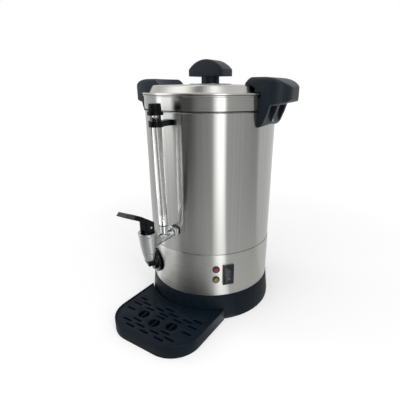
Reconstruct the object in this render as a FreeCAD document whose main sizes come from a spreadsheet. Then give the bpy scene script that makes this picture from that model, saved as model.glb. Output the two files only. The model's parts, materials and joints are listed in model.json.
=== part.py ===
import FreeCAD, Part
import math
import os
import re
import Sketcher

# A double-walled hot water urn. Lengths are in millimetres and angles in degrees.
# The origin is on the table, under the tank's axis. +Z is up and the tap faces -Y.
# An azimuth is counted from the tap's side (-Y) towards +X, and a reach is a distance from the axis.

V = FreeCAD.Vector
OUT = 1
IN = -1

DIMENSIONS = [
    ("shell_radius", 110, "outer radius of the steel casing"),
    ("shell_wall", 0.8, "thickness of the casing's sheet"),
    ("shell_height", 224.1, "height of the casing's tube"),
    ("band_step", 0.8, "how far the band stands out of the casing"),
    ("band_wall", 0.8, "thickness of the band's sheet"),
    ("band_bottom", 47.6, "height of the band's lower edge"),
    ("band_height", 78.5, "height of the band"),
    ("band_flange", 9, "width of the band's inward flange"),
    ("tank_inset", 12, "distance from the casing's outside to the tank's inside"),
    ("tank_wall", 0.8, "thickness of the tank's sheet"),
    ("floor_rise", 9.9, "height of the tank's floor above the band"),
    ("tank_corner", 7, "radius between the tank's floor and wall"),
    ("collar_step", 0.3, "how far the tank's collar stands out of the casing"),
    ("collar_corner", 1.4, "rounding under the collar, which shows as a groove"),
    ("collar_height", 23.6, "height of the tank's collar with its rim"),
    ("rim_bead", 2.8, "height of the rolled rim"),
    ("rim_proud", 1.4, "how far the rolled rim stands out of the collar"),
    ("fit_gap", 0.3, "gap between curved faces that don't slide"),
    ("running_gap", 0.05, "radial clearance of a shaft that turns in a hole"),
    ("screw_gap", 0.1, "radial clearance of a screw in its hole"),
    ("ring_flare", 5, "how far the base ring's foot stands out of the band"),
    ("ring_step", 0.8, "how far the base ring's top stands out of the band"),
    ("ring_foot_round", 1.5, "rounding of the base ring's lower edge"),
    ("ring_straight", 8, "height up to which the base ring's wall is upright"),
    ("ring_wall", 3.2, "wall of the base ring"),
    ("spigot_height", 8, "how far the base ring reaches up inside the band"),
    ("spigot_wall", 2.6, "wall of that spigot"),
    ("boss_inset", 9.6, "distance from the base ring's inside to its bosses' middle"),
    ("boss_width", 12, "width of a screw boss"),
    ("boss_height", 16, "height of a screw boss"),
    ("cover_bottom", 4, "height of the bottom cover's underside"),
    ("cover_thick", 2, "thickness of the bottom cover"),
    ("vent_inset", 30, "distance from the feet in to the vents' middle"),
    ("vent_length", 26, "length of a vent slot"),
    ("vent_width", 4.5, "width of a vent slot"),
    ("foot_inset", 9, "distance from the bosses in to the feet"),
    ("foot_radius", 9, "radius of a rubber foot"),
    ("foot_neck", 2.4, "radius of a foot's neck in the cover"),
    ("foot_head", 3.6, "radius of the head that holds a foot in the cover"),
    ("cover_screw", 1.9, "radius of the cover's screws"),
    ("cover_screw_head", 3.5, "radius of those screws' heads"),
    ("cover_screw_length", 12, "length of those screws above the cover"),
    ("lid_rise", 12.3, "height of the lid above its flange"),
    ("lid_wall", 0.8, "thickness of the lid's sheet"),
    ("lid_flat", 42, "radius of the lid's flat middle"),
    ("shoulder_width", 8.6, "distance from the lid's skirt in to where its crown turns down"),
    ("lid_crown", 3.3, "fall of the lid from its flat middle to its shoulder"),
    ("flange_width", 9.6, "width of the lid's flange outside its skirt"),
    ("lid_turn_radius", 9.2, "radius of the turn from crown to skirt"),
    ("skirt_turn_radius", 1.2, "radius of the turn from skirt to flange"),
    ("flange_overhang", 1.9, "how far the lid's flange stands out of the collar"),
    ("flange_height", 2.4, "height of the lid's rolled flange"),
    ("lid_lift", 0.3, "gap between the lid's flange and the tank's rim"),
    ("lip_gap", 0.9, "gap between the lid's lip and the collar"),
    ("lip_depth", 8, "how far the lip reaches down into the collar"),
    ("washer_radius", 35, "radius of the washer under the lid's knob"),
    ("washer_thick", 1.1, "thickness of that washer"),
    ("neck_radius", 14.8, "radius of the knob's neck"),
    ("neck_length", 11.1, "length of the knob's neck"),
    ("knob_length", 65, "length of the knob along X"),
    ("knob_width", 35, "width of the knob along Y"),
    ("knob_end", 10, "height of the knob's ends"),
    ("knob_crown", 15, "rise of the knob's arch above its ends"),
    ("knob_round", 3, "rounding of the knob's edges"),
    ("knob_screw", 2.5, "radius of the knob's screw"),
    ("knob_screw_head", 5, "radius of that screw's head"),
    ("handle_half", 36, "half of a handle's width"),
    ("handle_height", 69.5, "height of a handle"),
    ("handle_rise", 9.2, "height of a handle's top above the lid"),
    ("grip_depth", 37.5, "how far the grip stands out of the casing"),
    ("grip_fall", 13.5, "fall of the grip's top from its flat part to its outer face"),
    ("grip_slope", 37.5, "width of that falling part"),
    ("grip_round", 5, "rounding of the grip's upper edges"),
    ("grip_corner", 26, "plan radius of the grip's corners"),
    ("grip_heel", 7, "rounding of the grip's lower edge"),
    ("bracket_round", 16, "rounding of the handle's lower end"),
    ("grip_height", 34, "height of the grip"),
    ("hook_overlap", 12.6, "how far the hook's tip reaches over the lid"),
    ("hook_drop", 0.9, "depth of the hook's underside below the lid's top"),
    ("jaw_gap", 1.7, "gap between the handle's jaw and the lid's skirt"),
    ("slot_gap", 1, "gap round the two rims in a handle's slot"),
    ("web_half", 5, "half width of the web under the grip"),
    ("cheek_wall", 6, "thickness of the cheeks under the grip"),
    ("pocket_wall", 3, "thickness of the handle behind its pockets"),
    ("pocket_sill", 5.5, "height of the sill under the pockets"),
    ("pocket_height", 25, "height of the pockets"),
    ("handle_screw", 1.9, "radius of the handles' screws"),
    ("handle_screw_head", 3.4, "radius of those screws' heads"),
    ("handle_screw_rise", 8, "height of the lower screw above the handle's edge"),
    ("handle_screw_pitch", 8.4, "distance up to the upper screw"),
    ("screw_head_height", 2.4, "height of a screw's head"),
    ("handle_screw_bite", 5, "length of a handle's screw outside the casing"),
    ("shank_rise", 28.5, "height of the tap's shank above the tank's floor"),
    ("thread_radius", 7, "radius of the shank's thread"),
    ("shank_bore", 4.5, "radius of the bore through the shank"),
    ("shank_inside", 14, "length of the shank inside the tank"),
    ("tee_gap", 0.75, "gap between the shank's nut and its tee"),
    ("tee_length", 31.8, "length of the shank's tee"),
    ("tee_radius", 7.6, "radius of the shank's tee"),
    ("tee_branch", 5.75, "radius of the tee's upward branch"),
    ("branch_rise", 19, "rise of that branch above the shank's axis"),
    ("nipple_radius", 4.7, "radius of the nipple inside the sight tube"),
    ("nipple_length", 9, "length of that nipple"),
    ("spigot_radius", 6, "radius of the shank's spigot in the tap"),
    ("washer_outer", 9.3, "radius of the washers on the shank"),
    ("shank_washer", 1.8, "thickness of those washers"),
    ("nut_flats", 19.5, "width across the flats of the shank's nuts"),
    ("nut_thick", 7.6, "thickness of the shank's nuts"),
    ("spacer_radius", 9.3, "radius of the sleeve between tank and casing"),
    ("branch_offset", 16.3, "distance from the tee's start to its upward branch"),
    ("gauge_lean", 1.5, "lean of the sight tube away from the casing"),
    ("tube_radius", 7.5, "radius of the sight tube"),
    ("tube_bore", 4.9, "radius of the sight tube's bore"),
    ("tube_margin", 13.3, "how far below the rim the sight tube's end lies, along its lean"),
    ("seal_thick", 1.5, "thickness of the seal under the sight tube"),
    ("cap_grip", 11.5, "how far the gauge cap reaches down the sight tube"),
    ("cap_roof", 3.5, "thickness of the gauge cap above the tube"),
    ("cap_flange", 11.2, "radius of the gauge cap's flange"),
    ("cap_flange_height", 4.8, "height of that flange"),
    ("cap_radius", 9.1, "radius of the gauge cap above its flange"),
    ("cap_taper", 0.7, "how much narrower the gauge cap is at its top"),
    ("cap_ribs", 18, "number of grooves round the gauge cap"),
    ("cap_groove", 0.9, "radius of those grooves"),
    ("clip_drop", 27.5, "distance from the sight tube's top down to the clip's lower edge"),
    ("clip_height", 8, "height of the gauge clip"),
    ("clip_wall", 2.6, "thickness of the clip's ring"),
    ("clip_arm", 10, "width of the clip's arm"),
    ("clip_foot", 18, "width of the clip's foot on the casing"),
    ("clip_foot_wall", 2.4, "thickness of that foot"),
    ("clip_screw", 1.5, "radius of the clip's screw"),
    ("clip_screw_head", 2.8, "radius of that screw's head"),
    ("clip_screw_length", 9, "length of that screw outside the casing"),
    ("boss_length", 22.2, "distance from the tap's axis to the end of its side boss"),
    ("spout_drop", 24.9, "depth of the spout's end below the shank"),
    ("spout_bore", 4.5, "radius of the spout's bore"),
    ("cone_low", 6.6, "radius of the cone at its lower end"),
    ("cone_high", 13, "radius of the cone at its upper end"),
    ("cone_rise", 16, "height of the cone above the shank"),
    ("cone_bulge", 190, "radius of the cone's slight bulge"),
    ("cone_line_drop", 13, "depth of the fine groove round the cone below the shank"),
    ("cone_line_radius", 9.1, "radius of the bottom of that groove"),
    ("tap_ring", 13.6, "radius of the ring round the tap's top"),
    ("tap_rise", 21.5, "height of the tap's top above the shank"),
    ("seat_drop", 6.5, "depth of the valve's seat below the shank"),
    ("chamber_low", 8.3, "radius of the valve chamber above the seat"),
    ("chamber_high", 9.9, "radius of the valve chamber at its top"),
    ("bonnet_radius", 11.1, "radius of the bonnet that closes the chamber"),
    ("bonnet_thick", 7.4, "thickness of the bonnet"),
    ("bonnet_sunk", 0.4, "depth of the bonnet's top below the tap's"),
    ("boss_radius", 8.2, "radius of the tap's side boss"),
    ("boss_wall", 9.6, "distance from the tap's axis to the end of the shank's bore"),
    ("stem_radius", 2.4, "radius of the valve stem"),
    ("stem_eye", 3.1, "radius of the stem's eye, which takes the pin"),
    ("eye_gap", 1.4, "height of the stem's eye above the bonnet"),
    ("eye_above", 4.5, "height of the stem above its pin"),
    ("collar_rise", 8.6, "height of the stem's collar above the seat"),
    ("collar_thick", 1, "thickness of that collar"),
    ("stem_collar", 5.6, "radius of that collar"),
    ("cup_radius", 6.4, "radius of the rubber cup that shuts the seat"),
    ("cup_floor", 2, "thickness of the cup's floor"),
    ("seal_gap", 0.1, "gap between two soft faces that seal"),
    ("spring_radius", 4.3, "mean radius of the tap's spring"),
    ("spring_wire", 0.45, "radius of the spring's wire"),
    ("spring_turns", 5, "turns of the spring"),
    ("pin_rise", 8.9, "height of the lever's pin above the bonnet"),
    ("pin_radius", 1.6, "radius of the lever's pin"),
    ("pin_half", 9, "half of the pin's length"),
    ("hub_width", 18, "width of the lever's hub"),
    ("hub_front", 8.5, "distance from the pin to the hub's front face"),
    ("hub_back", 10, "distance from the pin to the hub's back face"),
    ("hub_gap", 0.7, "gap between the lever's hub and the bonnet"),
    ("hub_heel", 4, "rounding of the hub's heel, which rides on the bonnet"),
    ("hub_back_rise", 5.9, "height of the hub's back face above the pin"),
    ("hub_corner", 5.6, "plan radius of the hub's corners"),
    ("yoke_half", 3.5, "half width of the slot for the stem"),
    ("yoke_rise", 6.1, "height of the stem's slot above the pin"),
    ("yoke_back", 5.4, "distance from the pin to the slot's back"),
    ("yoke_front", 3.9, "distance from the pin to the slot's front at its top"),
    ("yoke_mouth_rise", 3.1, "height of the slot's mouth in the hub's front"),
    ("arm_root_rise", 10, "height above the pin where the lever's arm leaves the hub"),
    ("arm_bend", 17.5, "distance from the pin to the bend in the arm's top"),
    ("arm_bend_rise", 22.7, "height above the pin of the arm's top at its bend"),
    ("arm_reach", 47.5, "distance from the pin to the arm's lower tip"),
    ("arm_tip_rise", 30.7, "height above the pin of the arm's lower tip"),
    ("arm_tip_back", 5, "how far the upper tip lies behind the lower one"),
    ("arm_tip_height", 4.2, "height of the arm's end"),
    ("paddle_width", 16, "width of the arm"),
    ("dial_azimuth", -30, "azimuth of the thermostat's dial"),
    ("dial_height", 88, "height of the dial's axis"),
    ("dial_skirt", 22.5, "radius of the dial's skirt"),
    ("dial_skirt_thick", 3, "thickness of the dial's skirt"),
    ("dial_drum", 17, "radius of the dial's drum"),
    ("dial_drum_length", 6.7, "length of the dial's drum"),
    ("dial_gap", 0.5, "gap between the dial and the band"),
    ("dial_grip_rise", 11, "how far the dial's grip stands out of its drum"),
    ("dial_grip", 10, "thickness of the dial's grip"),
    ("dial_grip_length", 26, "length of the dial's grip"),
    ("shaft_radius", 3, "radius of the thermostat's shaft"),
    ("shaft_socket", 14, "distance from the thermostat's back to its shaft's end"),
    ("shaft_cover", 6, "depth of the shaft's end inside the dial's grip"),
    ("thermostat_half", 14, "half of the thermostat's width"),
    ("thermostat_depth", 24.6, "depth of the thermostat"),
    ("thermostat_inset", 1.4, "gap between the thermostat and the band on its axis"),
    ("thermostat_neck", 4.5, "radius of the thermostat's neck in the band"),
    ("neck_proud", 0.2, "how far the thermostat's neck stands out of the band"),
    ("bulb_radius", 3, "radius of the thermostat's bulb"),
    ("bulb_half", 30, "half of the bulb's length"),
    ("bulb_inset", 14, "distance from the tank's wall in to the bulb"),
    ("capillary", 0.8, "radius of the capillary tube"),
    ("capillary_bend", 7, "bending radius of the capillary tube"),
    ("switch_azimuth", 48.1, "azimuth of the switch"),
    ("switch_height", 88.3, "height of the switch's middle"),
    ("bezel_width", 19.4, "width of the switch's bezel"),
    ("bezel_height", 37, "height of the switch's bezel"),
    ("bezel_gap", 0.1, "gap between a bezel and the band"),
    ("bezel_thick", 2.5, "thickness of the switch's bezel"),
    ("housing_width", 17.4, "width of the switch's housing"),
    ("housing_height", 34, "height of the switch's housing"),
    ("housing_depth", 24.9, "depth of the switch's housing behind its bezel"),
    ("cavity_width", 15.2, "width of the housing's cavity"),
    ("cavity_height", 31, "height of the housing's cavity"),
    ("cavity_depth", 14.4, "depth of the housing's cavity behind the bezel"),
    ("rocker_width", 14.6, "width of the rocker"),
    ("pivot_depth", 5.9, "depth of the rocker's pivot behind the bezel"),
    ("rocker_rise", 8, "distance from the pivot to the rocker's face"),
    ("rocker_pressed", 14.9, "height of the pressed end above the pivot"),
    ("rocker_raised", 12.6, "depth of the raised end below the pivot"),
    ("rocker_raised_rise", 11.8, "distance from the pivot to the raised end"),
    ("rocker_depth", 4.5, "distance from the pivot to the rocker's back"),
    ("rocker_back_half", 11, "half height of the rocker's back"),
    ("rocker_pin", 1.5, "radius of the rocker's pins"),
    ("rocker_pin_half", 8.2, "half length across the rocker's pins"),
    ("lamp_azimuth", 37.3, "azimuth of the two lamps"),
    ("red_height", 99.8, "height of the red lamp"),
    ("amber_height", 80.3, "height of the amber lamp"),
    ("lamp_bezel", 6.2, "radius of a lamp's bezel"),
    ("lamp_bezel_thick", 1.4, "thickness of a lamp's bezel"),
    ("lens_radius", 5.3, "radius of a lamp's lens"),
    ("lens_seat", 0.3, "distance from the bezel's back to the lens"),
    ("lens_thick", 2.8, "thickness of a lens"),
    ("lens_round", 2.2, "rounding of the lens's edge"),
    ("lamp_barrel", 4.8, "radius of a lamp's barrel"),
    ("lamp_depth", 18.9, "depth of a lamp's barrel behind its bezel"),
    ("lamp_nut", 7.5, "radius of a lamp's nut"),
    ("lamp_nut_thick", 3, "thickness of that nut"),
    ("hole_gap", 0.4, "gap round a fitting in the band's holes"),
    ("gland_rise", 22.4, "height of the cord gland above the band's lower edge, at the back"),
    ("gland_bore", 4, "radius of the gland's bore"),
    ("gland_flange", 11, "radius of the gland's flange"),
    ("gland_flange_thick", 3.1, "thickness of the gland's flange"),
    ("gland_nose", 7, "radius of the gland's nose"),
    ("gland_nose_length", 12, "length of the gland's nose"),
    ("gland_barrel", 7.6, "radius of the gland's barrel in the band"),
    ("gland_depth", 12.9, "depth of the gland's barrel behind its flange"),
    ("gland_nut_flats", 20, "width across the flats of the gland's nut"),
    ("gland_nut_thick", 4.5, "thickness of the gland's nut"),
    ("heater_inset", 26, "distance from the tank's wall in to the heater's plate"),
    ("heater_thick", 5, "thickness of the heater's plate"),
    ("element_inset", 20, "distance from the plate's edge in to the element's ring"),
    ("element_radius", 4, "radius of the heating element"),
    ("element_gap_angle", 40, "angle left open in the element's ring"),
    ("terminal_angle", 4, "angle from the element's end to its terminal"),
    ("terminal_radius", 2.2, "radius of the element's terminals"),
    ("terminal_length", 16, "length of the element's terminals"),
    ("stud_radius", 3, "radius of the stud under the tank"),
    ("stud_length", 14, "length of that stud"),
    ("heater_nut_flats", 11, "width across the flats of the heater's nut"),
    ("heater_nut_thick", 5, "thickness of the heater's nut"),
    ("cutout_radius", 8, "radius of a thermal cut-out"),
    ("cutout_height", 7, "height of a thermal cut-out"),
    ("cutout_offset", 24, "distance of each cut-out from the axis"),
    ("block_length", 40, "length of the terminal block"),
    ("block_width", 20, "width of the terminal block"),
    ("block_height", 17, "height of the terminal block"),
    ("block_offset", 50, "distance of the terminal block behind the axis"),
    ("terminal_pitch", 11, "distance between the block's terminals"),
    ("wire_radius", 1.2, "radius of an insulated wire"),
    ("wire_bend", 12, "bending radius of a wire"),
    ("wire_rise", 24, "length of a wire's straight run into its terminal"),
    ("earth_offset", 40, "distance of the earth stud from the YZ plane"),
    ("earth_radius", 2, "radius of the earth stud"),
    ("earth_length", 14, "length of the earth stud above the cover"),
    ("earth_nut_flats", 8, "width across the flats of its nut"),
    ("earth_nut_thick", 3.2, "thickness of that nut"),
    ("tray_half", 82, "half of the drip tray's width"),
    ("tray_overhang", 39.5, "how far the tray reaches beyond the tap's axis"),
    ("tray_corner", 50.7, "plan radius of the tray's front corners"),
    ("tray_top", 21.3, "height of the tray's rim"),
    ("tray_gap", 1.2, "gap between the tray's hollow back and the base ring"),
    ("tray_lip", 2.4, "width of the tray's rim"),
    ("tray_ledge", 3.6, "width of the ledge that carries the grille"),
    ("tray_floor", 2.5, "thickness of the tray's floor"),
    ("tray_back_wall", 3, "thickness of the tray's hollow back wall"),
    ("tray_round", 1.2, "rounding of the tray's rim"),
    ("grille_drop", 1.3, "depth of the grille's top below the tray's rim"),
    ("grille_thick", 4, "thickness of the grille"),
    ("grille_gap", 0.5, "gap round the grille"),
    ("slot_length", 18, "length of a slot in the grille"),
    ("slot_width", 2.8, "width of a slot in the grille"),
    ("slot_row", 8.25, "distance between the grille's rows of slots"),
    ("slot_column", 30, "distance between two slots of a row"),
    ("slot_margin", 16.8, "distance from the tray's hollow back to the first row of slots"),
    ("drain_radius", 8.2, "radius of the grille's round drains"),
    ("drain_bar", 2.4, "width of the bar across a round drain"),
    ("tongue_offset", 35, "distance of the tray's tongues from the YZ plane"),
    ("tongue_width", 14, "width of a tongue"),
    ("tongue_low", 8, "height of a tongue's underside"),
    ("tongue_thick", 3.5, "thickness of a tongue"),
    ("tongue_grip", 8.6, "how far a tongue reaches inside the base ring"),
    ("tongue_gap", 0.5, "gap round a tongue in its slot"),
]

# Sizes that follow from the ones above
LINKED = {
    "shell_top": "band_top + shell_height",  # height of the casing's top edge, under the tank's ledge
    "band_radius": "shell_radius + band_step",  # outer radius of the steel band round the base
    "band_top": "band_bottom + band_height",  # height of the band's top flange, which carries the casing
    "tank_radius": "shell_radius - tank_inset",  # inner radius of the tank
    "tank_floor": "band_top + floor_rise",  # height of the tank's floor inside
    "collar_radius": "shell_radius + collar_step",  # outer radius of the tank's collar above the casing
    "rim_top": "shell_top + collar_height",  # height of the tank's rolled rim
    "ring_foot_radius": "band_radius + ring_flare",  # outer radius of the plastic base ring near the table
    "ring_top_radius": "band_radius + ring_step",  # outer radius of the base ring under the band
    "boss_circle": "ring_foot_radius - ring_wall - boss_inset",  # reach of the bosses in the base ring
    "vent_circle": "foot_circle - vent_inset",  # reach of the vent slots' middle
    "foot_circle": "boss_circle - foot_inset",  # reach of the rubber feet
    "lid_top": "rim_top + lid_lift + flange_height + lid_rise",  # height of the flat middle of the lid
    "lid_shoulder": "lid_skirt - shoulder_width",  # radius where the lid's crown turns down
    "lid_skirt": "lid_flange - flange_width",  # radius of the lid's skirt above its flange
    "lid_flange": "collar_radius + flange_overhang",  # outer radius of the lid's flange
    "lip_radius": "collar_radius - tank_wall - lip_gap",  # outer radius of the lid's inner lip
    "knob_bottom": "lid_top + washer_thick + neck_length",  # height of the knob's flat underside
    "handle_bottom": "handle_top - handle_height",  # height of a handle's lowest edge
    "handle_top": "lid_top + handle_rise",  # height of a handle's top
    "grip_reach": "shell_radius + grip_depth",  # reach of the grip's outer face
    "grip_bottom": "handle_top - grip_height",  # height of the grip's lower edge
    "hook_reach": "lid_skirt - hook_overlap",  # reach of the hook's tip, over the lid
    "hook_bottom": "lid_top - hook_drop",  # height of the hook's underside at its tip
    "pocket_reach": "shell_radius + pocket_wall",  # reach of the floor of the pockets under the grip
    "pocket_low": "handle_bottom + pocket_sill",  # height of the pockets' lower end
    "pocket_high": "pocket_low + pocket_height",  # height of the pockets' upper end
    "handle_screw_low": "handle_bottom + handle_screw_rise",  # height of a handle's lower screw
    "handle_screw_end": "shell_radius + handle_screw_bite",  # reach of the tip of a handle's screw
    "shank_height": "tank_floor + shank_rise",  # height of the tap's shank
    "shank_start": "tank_radius - shank_inside",  # reach of the shank's end inside the tank
    "tee_start": "shell_radius + running_gap + shank_washer + nut_thick + tee_gap",  # reach of its start
    "tee_end": "tee_start + tee_length",  # reach where the shank's tee ends
    "gauge_reach": "tee_start + branch_offset",  # reach of the sight tube's axis, level with the shank
    "tube_length": "rim_top - tube_margin - shank_height - branch_rise - seal_thick",  # the sight tube
    "clip_low": "shank_height + branch_rise + seal_thick + tube_length - clip_drop",  # the clip's lower edge
    "tap_reach": "tee_end + fit_gap + boss_length",  # reach of the tap's axis
    "spout_bottom": "shank_height - spout_drop",  # height of the spout's lower end
    "cone_top": "shank_height + cone_rise",  # height of the cone's upper end
    "cone_line": "shank_height - cone_line_drop",  # height of the fine groove round the cone
    "tap_top": "shank_height + tap_rise",  # height of the tap's top
    "seat_height": "shank_height - seat_drop",  # height of the valve's seat
    "bonnet_bottom": "bonnet_top - bonnet_thick",  # height of the bonnet's underside
    "bonnet_top": "tap_top - bonnet_sunk",  # height of the bonnet's top
    "eye_bottom": "bonnet_top + eye_gap",  # height of the lower end of the eye
    "stem_top": "pin_height + eye_above",  # height of the stem's top
    "collar_low": "seat_height + collar_rise",  # height of the stem's collar under the spring
    "pin_height": "bonnet_top + pin_rise",  # height of the lever's pin
    "hub_bottom": "bonnet_top + hub_gap",  # height of the hub's underside
    "hub_back_top": "pin_height + hub_back_rise",  # height of the top of the hub's back face
    "yoke_top": "pin_height + yoke_rise",  # height of the top of that slot
    "yoke_mouth": "hub_bottom + yoke_mouth_rise",  # height of the slot's mouth in the hub's front
    "arm_root": "pin_height + arm_root_rise",  # height where the lever's arm leaves the hub's front
    "arm_bend_top": "pin_height + arm_bend_rise",  # height of the arm's top at that bend
    "arm_tip_low": "pin_height + arm_tip_rise",  # height of the arm's lower tip
    "arm_tip_high": "arm_tip_low + arm_tip_height",  # height of the arm's upper tip
    "dial_drum_end": "dial_start + dial_skirt_thick + dial_drum_length",  # reach of the drum's face
    "dial_start": "band_radius + dial_gap",  # reach of the dial's back
    "dial_end": "dial_drum_end + dial_grip_rise",  # reach of the grip's outer face
    "shaft_start": "thermostat_start + shaft_socket",  # reach of the shaft's inner end
    "shaft_end": "dial_end - shaft_cover",  # reach of the shaft's outer end
    "thermostat_start": "thermostat_end - thermostat_depth",  # reach of the thermostat's back
    "thermostat_end": "band_radius - band_wall - thermostat_inset",  # reach of the thermostat's front
    "neck_end": "band_radius + neck_proud",  # reach of that neck's end
    "bulb_offset": "tank_radius - bulb_inset",  # distance of the bulb behind the axis
    "bezel_start": "band_radius + bezel_gap",  # reach of the bezel's back
    "bezel_end": "bezel_start + bezel_thick",  # reach of the bezel's face
    "housing_start": "bezel_start - housing_depth",  # reach of the housing's back
    "cavity_start": "bezel_start - cavity_depth",  # reach of the cavity's floor
    "rocker_pivot": "bezel_start - pivot_depth",  # reach of the rocker's pivot
    "rocker_face": "rocker_pivot + rocker_rise",  # reach of the rocker's face at its middle
    "rocker_raised_end": "rocker_pivot + rocker_raised_rise",  # reach of the raised end
    "rocker_back": "rocker_pivot - rocker_depth",  # reach of the rocker's back
    "lamp_bezel_end": "bezel_start + lamp_bezel_thick",  # reach of that bezel's face
    "lens_start": "bezel_start + lens_seat",  # reach of the lens's back
    "lens_end": "lens_start + lens_thick",  # reach of the lens's top
    "lamp_start": "bezel_start - lamp_depth",  # reach of the barrel's inner end
    "gland_height": "band_bottom + gland_rise",  # height of the cord gland
    "gland_flange_end": "bezel_start + gland_flange_thick",  # reach of that flange's face
    "gland_end": "gland_flange_end + gland_nose_length",  # reach of the gland's nose
    "gland_start": "bezel_start - gland_depth",  # reach of the barrel's inner end
    "heater_radius": "tank_radius - heater_inset",  # radius of the heater's plate
    "element_circle": "heater_radius - element_inset",  # radius of the heating element's ring
    "tray_front": "tap_reach + tray_overhang",  # reach of the tray's front
    "grille_top": "tray_top - grille_drop",  # height of the grille's top
    "slot_start": "ring_foot_radius + tray_gap + slot_margin",  # reach of the first row of slots
    "tongue_end": "ring_foot_radius - ring_wall - tongue_grip",  # reach of a tongue's end
}

doc = FreeCAD.newDocument("HotWaterUrn")
sheet = doc.addObject("Spreadsheet::Sheet", "Sheet")
for row, (alias, number, meaning) in enumerate(DIMENSIONS, 1):
    sheet.set(f"A{row}", meaning)
    sheet.set(f"B{row}", str(number))
    sheet.setAlias(f"B{row}", alias)
doc.recompute()
ALIASES = {alias for alias, number, meaning in DIMENSIONS}


def expand(text):
    """A formula in which every linked size is written out in the sheet's names."""
    while True:
        longer = re.sub(r"[a-z][a-z_]+", lambda m: f"({LINKED[m[0]]})" if m[0] in LINKED else m[0], text)
        if longer == text:
            return text
        text = longer


def bind(text):
    """A formula as an expression that other objects can use."""
    return re.sub(r"[a-z][a-z_]+", lambda m: "Sheet." + m[0] if m[0] in ALIASES else m[0], expand(text))


def value(text):
    """The number that a formula gives now."""
    return float(sheet.evalExpression(expand(text)))


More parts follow.
